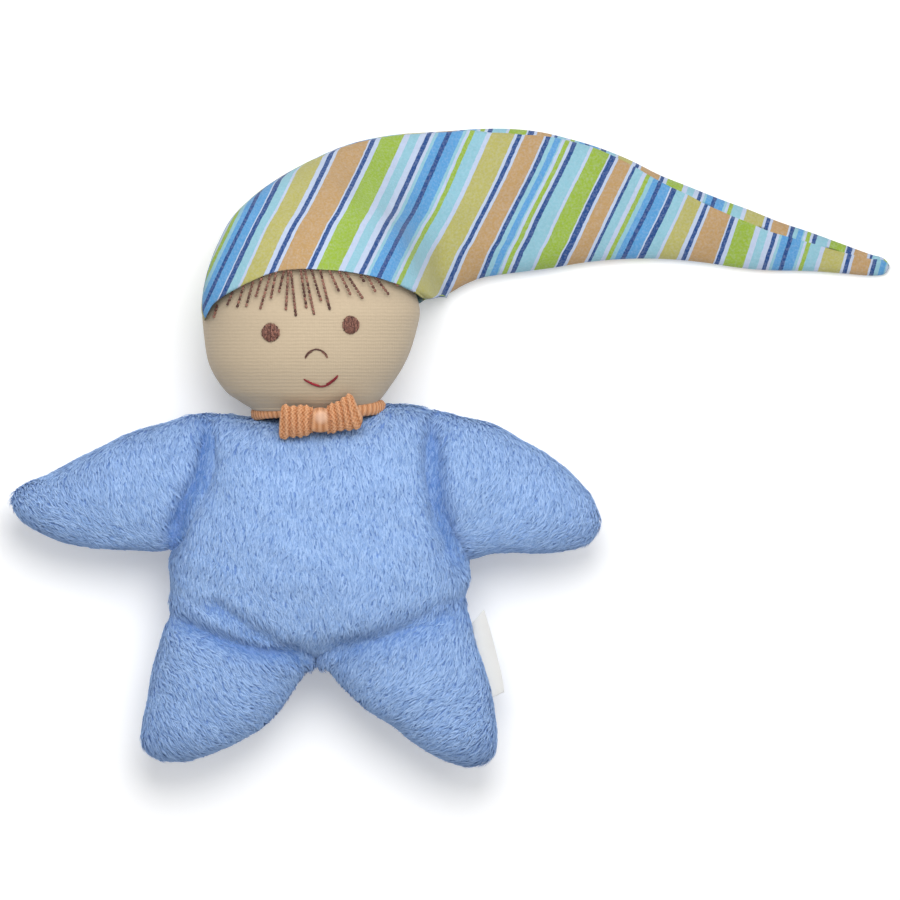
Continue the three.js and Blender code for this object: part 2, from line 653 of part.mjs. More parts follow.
// How far a form's far edge lies from its middle line, at a distance along it.
function farEdge(form, distance) {
  const next = Math.max(1, form.stations.findIndex((station) => station[0] >= distance));
  const [low, high] = [form.stations[next - 1], form.stations[next]];
  return low[1] + (high[1] - low[1]) * (distance - low[0]) / (high[0] - low[0]);
}

// Label: a bare folded ribbon, sewn into the outer seam of the left leg near the hip.
function makeLabel() {
  const { place, form } = limbs.left_leg;
  const along = new THREE.Vector3(Math.cos(radians(place.heading)), Math.sin(radians(place.heading)), 0);
  const across = new THREE.Vector3(-along.y, along.x, 0);
  const rows = [[0, 1.2], [0.5, 0.85], [1, 0.65]];
  const corner = ([share, proud], out, height) => {
    const distance = LABEL_START + share * LABEL_LENGTH;
    return new THREE.Vector3(...place.origin).addScaledVector(along, distance)
      .addScaledVector(across, farEdge(form, distance) + SEAT_GAP + out * proud * LABEL_PROUD)
      .add(new THREE.Vector3(0, 0, height - LIMB_DROOP * distance / LEFT_LEG_REACH));
  };
  const rings = [-LABEL_THICKNESS / 2, LABEL_THICKNESS / 2].map((height) => [
    ...rows.map((row) => corner(row, 0, height)),
    ...rows.toReversed().map((row) => corner(row, 1, height)),
  ]);
  const points = rings.flat();
  const count = rings[0].length;
  const index = [];
  for (let side = 0; side < count; side++) {
    const next = (side + 1) % count;
    index.push(side, next, side + count, next, next + count, side + count);
  }
  for (const [a, b, c] of [[0, 1, 5], [1, 4, 5], [1, 2, 4], [2, 3, 4]]) {
    index.push(a, c, b, a + count, b + count, c + count);
  }
  return closedGeometry(points, index);
}

const colours = {
  plush: { color: 0x8fb0e3, roughness: 1 },
  jersey: { color: 0xcab99f, roughness: 0.95 },
  stripedCotton: { color: 0x8fc3e6, roughness: 0.9 },
  orangeKnit: { color: 0xd79a67, roughness: 0.95 },
  brownThread: { color: 0x7a4a3c, roughness: 0.6 },
  redThread: { color: 0xa3222b, roughness: 0.6 },
  whiteRibbon: { color: 0xeeeeec, roughness: 0.8 },
  paleThread: { color: 0xc9c9cf, roughness: 0.8 },
  rattlePlastic: { color: 0xe9e4d8, roughness: 0.45 },
  pelletPlastic: { color: 0xd8d2c4, roughness: 0.4 },
};

const doll = new THREE.Group();
function addPiece(name, shape, finish) {
  const geometry = shape instanceof THREE.BufferGeometry ? shape : geometryFrom(shape);
  const mesh = new THREE.Mesh(geometry, new THREE.MeshStandardMaterial({ metalness: 0, ...colours[finish] }));
  mesh.name = name;
  doll.add(mesh);
}

addPiece('torso', makeTorso(), 'plush');
for (const [name, { place, form }] of Object.entries(limbs)) {
  addPiece(name, stuffedForm(place, form), 'plush');
}
addPiece('closing_stitches', makeClosingStitches(), 'paleThread');
addPiece('side_label', makeLabel(), 'whiteRibbon');
addPiece('rattle_front_half', rattleHalf(true), 'rattlePlastic');
addPiece('rattle_back_half', rattleHalf(false), 'rattlePlastic');
for (let number = 0; number < PELLETS; number++) {
  addPiece(`rattle_pellet_${number + 1}`, makePellet(number), 'pelletPlastic');
}
const ballRadii = [NECK_BALL_RADIUS, NECK_BALL_RADIUS, NECK_BALL_RADIUS];
const tieRing = ovalRing(tiltPoint, NECK_BALL_RADIUS, NECK_BALL_RADIUS, 2 * TIE_RADIUS, 2 * TIE_RADIUS, 28, 6);
const tieGroove = ovalRing(tiltPoint, NECK_BALL_RADIUS, NECK_BALL_RADIUS, 2 * TIE_RADIUS + 2 * TOUCH_GAP,
  2 * TIE_RADIUS + 2 * TOUCH_GAP, 28, 6);
addPiece('neck_filling', ellipsoid(tiltPoint, ballRadii, 18).subtract(solidFrom(tieGroove)), 'jersey');
addPiece('neck_tie', tieRing, 'paleThread');
const band = ovalRing(tiltPoint, NECK_WIDTH / 2, NECK_DEPTH / 2, BAND_HEIGHT, BAND_THICKNESS);
addPiece('neck_band', band, 'orangeKnit');
addPiece('bow_left_wing', makeWing(1, 1.8), 'orangeKnit');
addPiece('bow_right_wing', makeWing(-1, 0.4), 'orangeKnit');
addPiece('bow_knot', makeKnot(), 'orangeKnit');
addPiece('head', makeHead(), 'jersey');
const eye = (side) => column(ovalOutline(side * EYE_SPACING / 2, 0, EYE_WIDTH, EYE_HEIGHT)).intersect(embroideryLayer);
addPiece('left_eye', eye(1), 'brownThread');
addPiece('right_eye', eye(-1), 'brownThread');
const nose = arcOutline(1, -0.125 * HEAD_LENGTH, NOSE_WIDTH, 2.2, THREAD_WIDTH);
addPiece('nose_stitch', column(nose).intersect(embroideryLayer), 'brownThread');
const mouth = arcOutline(1.5, -0.225 * HEAD_LENGTH, MOUTH_WIDTH, -2.4, THREAD_WIDTH);
addPiece('mouth_stitch', column(mouth).intersect(embroideryLayer), 'redThread');
addPiece('fringe_stitches', makeFringe(), 'brownThread');
addPiece('cap_crown', makeCapCrown(), 'stripedCotton');
addPiece('cap_tail_upper', makeUpperTail(), 'stripedCotton');
addPiece('cap_tail_tip', stuffedForm(tipPlace, lowerTail).subtract(ground), 'stripedCotton');

export default doll;
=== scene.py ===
import math

import bpy
import numpy as np
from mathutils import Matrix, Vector


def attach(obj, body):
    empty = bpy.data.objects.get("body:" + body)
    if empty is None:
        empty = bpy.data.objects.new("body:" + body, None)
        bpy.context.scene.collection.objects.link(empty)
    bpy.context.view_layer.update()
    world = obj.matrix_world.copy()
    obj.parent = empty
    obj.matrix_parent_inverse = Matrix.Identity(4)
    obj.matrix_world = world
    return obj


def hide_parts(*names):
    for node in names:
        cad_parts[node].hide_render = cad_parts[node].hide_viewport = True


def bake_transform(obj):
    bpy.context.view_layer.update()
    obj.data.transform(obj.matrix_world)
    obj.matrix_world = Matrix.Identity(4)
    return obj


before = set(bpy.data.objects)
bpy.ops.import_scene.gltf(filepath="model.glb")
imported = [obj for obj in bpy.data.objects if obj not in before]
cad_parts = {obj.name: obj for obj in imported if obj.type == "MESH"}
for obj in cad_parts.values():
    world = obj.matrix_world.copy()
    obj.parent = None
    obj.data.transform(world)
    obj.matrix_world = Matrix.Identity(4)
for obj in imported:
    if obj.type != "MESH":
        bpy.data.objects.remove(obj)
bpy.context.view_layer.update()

# A millimetre, in metres
MM = 0.001

# The photograph: how many millimetres a pixel spans, and the pixel that shows the frame's origin
PIXEL = 0.3
ORIGIN_PIXEL = (320, 540)
PICTURE = 900

# Body, head and limbs, from the frame's own sizes, in millimetres
BODY_WIDTH = 90
BODY_LENGTH = 75.4
BODY_DEPTH = 45
SEAM_HEIGHT = 22
HEAD_WIDTH = 66
HEAD_LENGTH = 66.5
HEAD_DEPTH = 54
HEAD_ORIGIN = (-2.475, 40.731, 28.6)
NECK = (-0.495, 38.831, 25)
# How far a limb's tip sinks, and how far the plush cover lies inside the outline, to leave room for its pile
LIMB_DROOP = 2
PILE_ROOM = 0.85


def rows_between(rows, places):
    """Smooth rows between rows of numbers: the cubic through them, at fractional row places."""
    rows = np.asarray(rows, float)
    places = np.clip(np.asarray(places, float), 0, len(rows) - 1)
    start = np.minimum(places.astype(int), len(rows) - 2)
    s = (places - start)[:, None]
    before, this, after = rows[np.maximum(start - 1, 0)], rows[start], rows[start + 1]
    beyond = rows[np.minimum(start + 2, len(rows) - 1)]
    slope_in, slope_out = (after - before) / 2, (beyond - this) / 2
    return ((2 * s**3 - 3 * s**2 + 1) * this + (s**3 - 2 * s**2 + s) * slope_in
            + (3 * s**2 - 2 * s**3) * after + (s**3 - s**2) * slope_out)


def smooth_step(low, high, value):
    """0 below low, 1 above high, and 3t^2 - 2t^3 between them."""
    t = np.clip((value - low) / (high - low), 0, 1)
    return t * t * (3 - 2 * t)


def ripple(points, size, seed, waves=7):
    """A smooth uneven field, mostly from -1 to 1: the sum of sine waves of about one size in chance
    directions, divided by 1.4 times the root of their number."""
    chance = np.random.default_rng(seed)
    way = chance.normal(size=(waves, 3))
    way /= np.linalg.norm(way, axis=1, keepdims=True)
    way *= 2 * np.pi / size * chance.uniform(0.7, 1.4, (waves, 1))
    turn = chance.uniform(0, 2 * np.pi, waves)
    return np.sin(points @ way.T + turn).sum(-1) / waves**0.5 / 1.4


def unit(vectors):
    """Vectors scaled to length 1."""
    return vectors / np.maximum(np.linalg.norm(vectors, axis=-1, keepdims=True), 1e-9)


def in_pixels(points):
    """Points of the photograph, in pixels, as millimetres in the frame's X and Y."""
    points = np.asarray(points, float)
    return np.stack([(points[..., 0] - ORIGIN_PIXEL[0]) * PIXEL,
                     (ORIGIN_PIXEL[1] - points[..., 1]) * PIXEL], -1)


def length_along(points, count):
    """Points, as many as the count, spaced evenly along the smooth curve through the given ones."""
    fine = rows_between(points, np.linspace(0, len(points) - 1, 60 * len(points)))
    run = np.concatenate([[0], np.cumsum(np.linalg.norm(np.diff(fine, axis=0), axis=1))])
    even = np.linspace(0, run[-1], count)
    return np.stack([np.interp(even, run, fine[:, axis]) for axis in range(fine.shape[1])], -1)


# Meshes

def mesh_piece(name, points, faces, material, smooth=True, numbers=None, maps=None):
    """A piece from points in millimetres and a list of face arrays. smooth is for all of it or per face,
    numbers are per point, and maps per corner."""
    mesh = bpy.data.meshes.new(name)
    sizes = np.concatenate([np.full(len(part), part.shape[1]) for part in faces])
    corners = np.concatenate([part.ravel() for part in faces])
    mesh.vertices.add(len(points))
    mesh.vertices.foreach_set("co", (np.asarray(points) * MM).astype(np.float32).ravel())
    mesh.loops.add(len(corners))
    mesh.loops.foreach_set("vertex_index", corners.astype(np.int32))
    mesh.polygons.add(len(sizes))
    mesh.polygons.foreach_set("loop_start", np.concatenate([[0], np.cumsum(sizes)[:-1]]).astype(np.int32))
    mesh.polygons.foreach_set("use_smooth", np.broadcast_to(smooth, len(sizes)).copy())
    mesh.update(calc_edges=True)
    for key, values in (numbers or {}).items():
        attribute = mesh.attributes.new(key, "FLOAT", "POINT")
        attribute.data.foreach_set("value", values.astype(np.float32).ravel())
    for key, values in (maps or {}).items():
        mesh.uv_layers.new(name=key).data.foreach_set("uv", values.astype(np.float32).ravel())
    mesh.materials.append(material)
    piece = bpy.data.objects.new(name, mesh)
    bpy.context.scene.collection.objects.link(piece)
    return piece


def grid_quads(rings, sides):
    """Faces of a grid of (ring, side) points, closed round its sides and open at its first and last ring."""
    index = np.arange(rings * sides).reshape(rings, sides)
    near, far = index[:-1], index[1:]
    return np.stack([near, far, np.roll(far, -1, 1), np.roll(near, -1, 1)], -1).reshape(-1, 4)


def pole_to_pole(grid):
    """Values on a (ring, side) grid as one row, with a single value for the first and for the last ring."""
    return np.concatenate([grid[:1, 0], grid[1:-1].reshape(-1, *grid.shape[2:]), grid[-1:, 0]])


def closed_skin(rings):
    """Points and faces of a closed skin from (ring, side) points whose first and last rings are poles."""
    count, sides = rings.shape[:2]
    points = pole_to_pole(rings)
    side = np.arange(sides)
    after = (side + 1) % sides
    last = 1 + (count - 3) * sides
    start = np.stack([np.zeros_like(side), 1 + side, 1 + after], -1)
    end = np.stack([np.full_like(side, len(points) - 1), last + after, last + side], -1)
    return points, outward(points, [1 + grid_quads(count - 2, sides), np.concatenate([start, end])])


def outward(points, faces):
    """The same faces, turned round where the volume that they close is negative."""
    volume = 0
    for part in faces:
        for corner in range(1, part.shape[1] - 1):
            a, b, c = points[part[:, 0]], points[part[:, corner]], points[part[:, corner + 1]]
            volume += (a * np.cross(b, c)).sum()
    return faces if volume > 0 else [part[:, ::-1] for part in faces]


def dress(piece, body, node=None):
    """A piece rides on a body, and may stand for a node, whose own part is hidden."""
    if node:
        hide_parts(node)
    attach(piece, body)


# Materials

def linear(red, green, blue):
    """A colour of the screen, 0 to 255, as Blender's linear light."""
    share = np.array([red, green, blue]) / 255
    light = np.where(share <= 0.04045, share / 12.92, ((share + 0.055) / 1.055) ** 2.4)
    return (*map(float, light), 1.0)


class Nodes:
    """A node tree with short calls: a node's inputs are given by name or place as values or sockets."""

    def __init__(self, tree):
        self.tree = tree

    def add(self, kind, inputs=None, **settings):
        node = self.tree.nodes.new(kind)
        for key, value in settings.items():
            setattr(node, key, value)
        for key, value in (inputs or {}).items():
            if isinstance(value, bpy.types.NodeSocket):
                self.tree.links.new(value, node.inputs[key])
            else:
                node.inputs[key].default_value = value
        return node

    def maths(self, operation, *values):
        return self.add("ShaderNodeMath", dict(enumerate(values)), operation=operation).outputs[0]

    def mix(self, factor, first, second):
        node = self.add("ShaderNodeMix", {0: factor, 6: first, 7: second}, data_type="RGBA")
        return node.outputs[2]

    def noise(self, place, scale, detail=2.0, roughness=0.5):
        return self.add("ShaderNodeTexNoise", {"Vector": place, "Scale": scale, "Detail": detail,
                                               "Roughness": roughness}).outputs[0]

    def bump(self, height, distance):
        return self.add("ShaderNodeBump", {"Height": height, "Distance": distance}).outputs[0]

    def number(self, name):
        return self.add("ShaderNodeAttribute", attribute_name=name).outputs["Fac"]


def finish_named(name, colour, roughness, build=None, **fixed):
    """A material with a Principled shader. build(nodes, place) gives the sockets that change over the
    surface, and fixed the plain values of others."""
    material = bpy.data.materials.new(name)
    material.use_nodes = True
    material.node_tree.nodes.clear()
    nodes = Nodes(material.node_tree)
    shader = nodes.add("ShaderNodeBsdfPrincipled", {"Base Color": colour, "Roughness": roughness, **fixed})
    if build:
        place = nodes.add("ShaderNodeTexCoord").outputs["Object"]
        for key, socket in build(nodes, place).items():
            nodes.tree.links.new(socket, shader.inputs[key])
    nodes.add("ShaderNodeOutputMaterial", {"Surface": shader.outputs[0]})
    return material


def shared_group(name, inputs, outputs, build):
    """A node group with named inputs and outputs. build(nodes, sockets) gives the outputs by name."""
    tree = bpy.data.node_groups.new(name, "ShaderNodeTree")
    for key, kind, value in inputs:
        socket = tree.interface.new_socket(key, in_out="INPUT", socket_type=kind)
        if value is not None:
            socket.default_value = value
    for key, kind in outputs:
        tree.interface.new_socket(key, in_out="OUTPUT", socket_type=kind)
    nodes = Nodes(tree)
    start = nodes.add("NodeGroupInput")
    nodes.add("NodeGroupOutput", build(nodes, start.outputs))
    return tree


def mottled(nodes, given):
    """Uneven dye: the colour, lighter and darker by the amount, in soft patches of the given size."""
    patches = nodes.noise(given["Place"], given["Scale"], 3.0, 0.6)
    swing = nodes.maths("MULTIPLY", nodes.maths("SUBTRACT", patches, 0.5), given["Amount"])
    return {"Color": nodes.add("ShaderNodeHueSaturation", {
        "Value": nodes.maths("ADD", swing, 1.0), "Color": given["Color"]}).outputs[0]}


UNEVEN_DYE = shared_group("uneven dye", [
    ("Place", "NodeSocketVector", None), ("Color", "NodeSocketColor", None),
    ("Scale", "NodeSocketFloat", 100.0), ("Amount", "NodeSocketFloat", 0.2)],
    [("Color", "NodeSocketColor")], mottled)


def dyed(nodes, place, colour, scale, amount):
    """The uneven dye group, placed in a material."""
    inputs = {"Place": place, "Color": colour, "Scale": scale, "Amount": amount}
    return nodes.add("ShaderNodeGroup", inputs, node_tree=UNEVEN_DYE).outputs[0]


# The pile's colours: the deep one also paints the shade at the tufts' roots and in the creases, and the light
# one the light on their tips and ridges
PLUSH_LIGHT = linear(168, 197, 237)
PLUSH_DEEP = linear(90, 129, 190)
# The ground's colours, mixed by its grain, are dark as painted shade between the tufts
GROUND_DEEP = linear(88, 124, 190)
GROUND_LIGHT = linear(132, 168, 226)
# The jersey's two colours, between which the painted light and shade of its loops swings
JERSEY_DEEP = linear(182, 164, 138)
JERSEY_LIGHT = linear(194, 177, 152)
# The knit's colours: painted shade in the grooves, painted light on the ribs, and the knot's painted
# highlight
KNIT_DEEP = linear(172, 109, 64)
KNIT_LIGHT = linear(223, 170, 129)
KNIT_HIGHLIGHT = linear(228, 190, 165)
# The threads' deep and light colours, between which their painted highlights and shade swing
BROWN_DEEP = linear(66, 34, 28)
BROWN_LIGHT = linear(152, 106, 90)
RED_DEEP = linear(104, 10, 26)
RED_LIGHT = linear(160, 28, 44)
PALE_DEEP = linear(150, 165, 205)
PALE_LIGHT = linear(205, 212, 228)
RIBBON = linear(233, 233, 231)
RATTLE = linear(233, 228, 216)
PELLET = linear(216, 210, 196)
NECK_CLOTH = linear(214, 197, 170)
# The jersey's rows and columns of loops, in metres, and the ribbon's threads, in radians a metre
COURSE = 0.00105
WALE = 0.0007
RIBBON_WAVES = 15000


def plush_cloth(nodes, place):
    """The knitted ground of the plush, painted dark as the shade between the tufts, with a fine grain."""
    grain = nodes.noise(place, 1100, 3, 0.7)
    colour = nodes.mix(grain, GROUND_DEEP, GROUND_LIGHT)
    return {"Base Color": dyed(nodes, place, colour, 60, 0.2), "Normal": nodes.bump(grain, 0.0008)}


def plush_tufts(nodes, place):
    """Fibres: painted shade at the root and in the creases, and painted light at the tip and on the ridge,
    each tuft a little different."""
    # Painted light from root to tip and on the ridge, painted shade in the creases, and a chance tone for
    # each tuft
    share = nodes.maths("MULTIPLY_ADD", nodes.number("tip"), 0.26, 0.06)
    for name, weight in (("chance", 0.46), ("ridge", 0.3), ("crease", -0.5)):
        share = nodes.maths("MULTIPLY_ADD", nodes.number(name), weight, share)
    return {"Base Color": dyed(nodes, place, nodes.mix(share, PLUSH_DEEP, PLUSH_LIGHT), 55, 0.16)}


def jersey(nodes, place):
    """Fine jersey: rows of small loops across the head, clearer in some patches than in others, with painted
    shade between the loops and painted light on them.
    """
    parts = nodes.add("ShaderNodeSeparateXYZ", {0: place}).outputs
    wobble = nodes.maths("MULTIPLY", nodes.noise(place, 260, 2), 0.0005)
    row = nodes.maths("MULTIPLY", nodes.maths("ADD", parts[1], wobble), 2 * math.pi / COURSE)
    strength = nodes.maths("MULTIPLY_ADD", nodes.noise(place, 160, 2), 1.5, 0.05)
    course = nodes.maths("MULTIPLY", nodes.maths("SINE", row), strength)
    wale = nodes.maths("SINE", nodes.maths("MULTIPLY", parts[0], 2 * math.pi / WALE))
    loops = nodes.maths("MULTIPLY_ADD", wale, 0.12, course)
    height = nodes.maths("MULTIPLY_ADD", nodes.noise(place, 2200, 2), 1.2, loops)
    # Painted shade between the loops and painted light on them, stronger in some patches
    patchy = nodes.noise(place, 120, 2)
    shade = nodes.maths("MULTIPLY_ADD", nodes.maths("MULTIPLY", loops, patchy), 0.07, 0.5)
    colour = dyed(nodes, place, nodes.mix(shade, JERSEY_DEEP, JERSEY_LIGHT), 45, 0.05)
    return {"Base Color": dyed(nodes, place, colour, 1100, 0.14), "Normal": nodes.bump(height, 0.000025)}


def thread_sheen(dark, light):
    """Glossy thread: its colour swings between dark and light along and across the strands, as painted
    highlights and shade, and each strand is a little darker or lighter.
    """
    def build(nodes, place):
        streaks = nodes.noise(place, 1900, 3, 0.7)
        own = nodes.maths("MULTIPLY_ADD", nodes.number("chance"), 0.9, -0.95)
        share = nodes.maths("MULTIPLY_ADD", streaks, 1.9, own)
        return {"Base Color": nodes.mix(share, dark, light), "Normal": nodes.bump(streaks, 0.0001)}
    return build


def rib_knit(nodes, place):
    """Knitted rib: painted light on the ribs and painted shade in their grooves, a painted highlight on the
    knot, and the fine grain of the yarn.
    """
    # How proud the knit stands paints its light and shade, and the highlight spot paints the knot's highlight
    colour = nodes.mix(nodes.number("proud"), KNIT_DEEP, KNIT_LIGHT)
    colour = nodes.mix(nodes.number("highlight_spot"), colour, KNIT_HIGHLIGHT)
    grain = nodes.noise(place, 2400, 3, 0.6)
    return {"Base Color": dyed(nodes, place, colour, 380, 0.35), "Normal": nodes.bump(grain, 0.0002)}


def ribbon_weave(nodes, place):
    """Narrow woven ribbon: fine crossing threads."""
    parts = nodes.add("ShaderNodeSeparateXYZ", {0: place}).outputs
    waves = [nodes.maths("SINE", nodes.maths("MULTIPLY", part, RIBBON_WAVES)) for part in parts[:2]]
    weave = nodes.maths("MULTIPLY", *waves)
    return {"Base Color": dyed(nodes, place, RIBBON, 200, 0.06), "Normal": nodes.bump(weave, 0.00005)}


def moulded(colour):
    """Moulded plastic: faint flow marks and a fine skin."""
    def build(nodes, place):
        skin = nodes.noise(place, 1200, 2)
        rough = nodes.maths("MULTIPLY_ADD", skin, 0.2, 0.35)
        return {"Base Color": dyed(nodes, place, colour, 60, 0.06), "Roughness": rough,
                "Normal": nodes.bump(skin, 0.00005)}
    return build


def loose_filling(nodes, place):
    """The jersey bag of the neck, gathered over its filling."""
    gather = nodes.noise(place, 500, 3)
    return {"Base Color": dyed(nodes, place, NECK_CLOTH, 300, 0.15), "Normal": nodes.bump(gather, 0.0004)}


# One repeat of the striped print: each stripe's colour and its width on the cloth, in millimetres
STRIPES = [
    ("olive", 5.1), ("white", 1.1), ("navy", 1.1), ("white", 1), ("orange", 7.4), ("white", 0.4),
    ("navy", 1.4), ("white", 1.2), ("green", 5.7), ("white", 1.8), ("sky", 2.7), ("white", 1.6),
    ("navy", 1.2), ("white", 1.1), ("sky", 0.7), ("blue", 2.2), ("navy", 1.2), ("blue", 3), ("sky", 0.8),
    ("white", 1), ("green", 1.2), ("sky", 3.6), ("white", 1.2), ("olive", 6.3), ("white", 1), ("navy", 1.4),
    ("white", 0.7), ("orange", 5.6), ("white", 0.4), ("navy", 1.2), ("sky", 1.4), ("blue", 1.8),
    ("sky", 0.5), ("white", 0.7), ("green", 1.4), ("white", 0.5), ("navy", 1.5), ("sky", 3.8),
    ("white", 0.8), ("green", 5.3), ("white", 0.4), ("navy", 1.5), ("white", 1.1), ("orange", 4.2),
    ("white", 0.7), ("navy", 1.1), ("sky", 2.6), ("white", 1), ("green", 1.6), ("sky", 1.1), ("blue", 1.6),
    ("navy", 1.5), ("blue", 2.9), ("white", 0.3), ("navy", 1.8), ("sky", 3), ("white", 1.1)]
PRINT_COLOURS = {
    "olive": linear(169, 164, 93), "white": linear(176, 189, 212), "navy": linear(33, 69, 126),
    "orange": linear(174, 141, 95), "green": linear(140, 167, 56), "sky": linear(134, 181, 196),
    "blue": linear(83, 146, 197)}
COTTON_FIBRE = linear(196, 204, 222)


def striped_print(nodes, place):
    """A woven stripe: the print's coordinate, a little uneven, picks the colour from two colour ramps."""
    uv = nodes.add("ShaderNodeUVMap", uv_map="cloth").outputs[0]
    across = nodes.add("ShaderNodeSeparateXYZ", {0: uv}).outputs[0]
    waver = nodes.maths("MULTIPLY", nodes.maths("SUBTRACT", nodes.noise(place, 450, 2), 0.5), 0.36)
    repeat = sum(width for _, width in STRIPES)
    share = nodes.maths("WRAP", nodes.maths("ADD", across, waver), repeat, 0.0)
    middle = len(STRIPES) // 2
    start = 0.0
    halves = []
    for stripes in (STRIPES[:middle], STRIPES[middle:]):
        ramp = nodes.add("ShaderNodeValToRGB", {0: nodes.maths("DIVIDE", share, repeat)})
        band = ramp.color_ramp
        band.interpolation = "CONSTANT"
        while len(band.elements) < len(stripes):
            band.elements.new(0.5)
        for element, (colour, width) in zip(band.elements, stripes):
            element.position = start / repeat
            element.color = PRINT_COLOURS[colour]
            start += width
        halves.append(ramp.outputs[0])
    half_way = sum(width for _, width in STRIPES[:middle])
    colour = nodes.mix(nodes.maths("GREATER_THAN", share, half_way), *halves)
    grain = nodes.noise(place, 1500, 2)
    colour = nodes.mix(nodes.maths("MULTIPLY_ADD", grain, 0.5, -0.2), colour, COTTON_FIBRE)
    return {"Base Color": dyed(nodes, place, dyed(nodes, place, colour, 900, 0.2), 90, 0.16),
            "Normal": nodes.bump(grain, 0.00015)}


FINISHES = {
    "plush_cloth": finish_named("plush cloth", PLUSH_DEEP, 1.0, plush_cloth),
    "plush_tufts": finish_named("plush tufts", PLUSH_LIGHT, 0.85, plush_tufts, **{
        "Sheen Weight": 0.25, "Sheen Roughness": 0.5, "Sheen Tint": (0.55, 0.78, 1, 1),
        "Specular IOR Level": 0.15}),
    "jersey": finish_named("skin jersey", JERSEY_LIGHT, 0.95, jersey, **{
        "Sheen Weight": 0.15, "Specular IOR Level": 0.2}),
    "striped_cotton": finish_named("striped cotton", PRINT_COLOURS["white"], 0.9, striped_print, **{
        "Sheen Weight": 0.1, "Specular IOR Level": 0.25}),
    "brown_thread": finish_named("brown thread", BROWN_DEEP, 0.5, thread_sheen(BROWN_DEEP, BROWN_LIGHT), **{
        "Specular IOR Level": 0.4}),
    "red_thread": finish_named("red thread", RED_DEEP, 0.5, thread_sheen(RED_DEEP, RED_LIGHT), **{
        "Specular IOR Level": 0.4}),
    "pale_thread": finish_named("pale thread", PALE_DEEP, 0.6, thread_sheen(PALE_DEEP, PALE_LIGHT)),
    "orange_knit": finish_named("orange knit", KNIT_LIGHT, 0.95, rib_knit, **{
        "Sheen Weight": 0.15, "Specular IOR Level": 0.2}),
    "white_ribbon": finish_named("white ribbon", RIBBON, 0.7, ribbon_weave),
    "rattle_plastic": finish_named("rattle plastic", RATTLE, 0.45, moulded(RATTLE)),
    "pellet_plastic": finish_named("pellet plastic", PELLET, 0.4, moulded(PELLET)),
    "neck_filling": finish_named("neck filling", NECK_CLOTH, 0.95, loose_filling),
}


# Stuffed forms. A place is an origin, a heading and a side; a station is [distance along, far edge,
# near edge, half depth, lift], and each section is an ellipse.

class Stuffed:
    """A stuffed form: stations with smooth rows between them, closed by half ellipsoids at both ends."""

    def __init__(self, origin, heading, side, stations, start_dome, end_dome, end_shift=0.0):
        turn = math.radians(heading)
        self.origin = np.array(origin, float)
        self.along = np.array([math.cos(turn), math.sin(turn), 0.0])
        self.across = np.array([-math.sin(turn), math.cos(turn), 0.0]) * side
        self.stations = np.array(stations, float)
        self.start_dome, self.end_dome, self.end_shift = start_dome, end_dome, end_shift

    def rings(self, grow, body_rings, sides, dome_rings):
        """Rings of points from pole to pole: sections scaled by the cosine of an angle at the domes."""
        first, last = self.stations[:1], self.stations[-1:]
        closing = np.linspace(0, math.pi / 2, dome_rings + 1)
        start, end = np.repeat(first, dome_rings, 0), np.repeat(last, dome_rings, 0)
        start[:, 0] -= (self.start_dome + grow) * np.sin(closing[:0:-1])
        end[:, 0] += (self.end_dome + grow) * np.sin(closing[1:])
        end[:, 1:3] += self.end_shift * np.sin(closing[1:, None])
        middle = rows_between(self.stations, np.linspace(0, len(self.stations) - 1, body_rings))
        rows = np.concatenate([start, middle, end])
        scale = np.concatenate([np.cos(closing[:0:-1]), np.ones(body_rings), np.cos(closing[1:])])
        distance, far, near, thick, lift = rows.T[..., None]
        turn = np.linspace(0, 2 * math.pi, sides, endpoint=False)
        wide = (far + near) / 2 + ((far - near) / 2 + grow) * scale[:, None] * np.cos(turn)
        high = lift + (thick + grow) * scale[:, None] * np.sin(turn)
        flat = self.origin + distance[..., None] * self.along + wide[..., None] * self.across
        flat[..., 2] += high
        return flat

    def fullness(self, points, grow=0.0):
        """How far out a point is: below 1 inside the form and above 1 outside it."""
        local = points - self.origin
        distance, wide, high = local @ self.along, local @ self.across, local[..., 2]
        held = np.clip(distance, self.stations[0, 0], self.stations[-1, 0])
        places = np.interp(held, self.stations[:, 0], np.arange(len(self.stations)))
        _, far, near, thick, lift = rows_between(self.stations, places.ravel()).T.reshape((5,) + held.shape)
        dome = np.where(distance < held, self.start_dome, self.end_dome) + grow
        beyond = (distance - held) / dome
        shift = np.where(distance > held, self.end_shift, 0) * np.clip(beyond, 0, 1)
        return np.sqrt(((wide - (far + near) / 2 - shift) / ((far - near) / 2 + grow)) ** 2
                       + ((high - lift) / (thick + grow)) ** 2 + beyond**2)


def shares(rows, reach, half_root, half_depth, droop=0.0):
    """Stations from shares of a form's reach, half its root and half its depth."""
    rows = np.array(rows, float)
    return np.column_stack([rows[:, 0] * reach, rows[:, 1] * half_root, rows[:, 2] * half_root,
                            rows[:, 3] * half_depth, -droop * rows[:, 0]])


TORSO = Stuffed((0, 0, SEAM_HEIGHT), 90, 1, [
    [y * BODY_LENGTH / 2, -near * BODY_WIDTH / 2, -far * BODY_WIDTH / 2, thick * BODY_DEPTH / 2, 0]
    for y, far, near, thick in [
        (-0.6, 0.99, -1.0, 0.82), (-0.35, 1.0, -1.01, 0.94), (-0.1, 1.01, -1.02, 1.0), (0.1, 0.97, -1.0, 1.0),
        (0.4, 0.91, -0.93, 0.95), (0.74, 0.88, -0.88, 0.78), (0.93, 0.84, -0.84, 0.5),
        (0.985, 0.78, -0.76, 0.24)]], 13.8, 1.9)

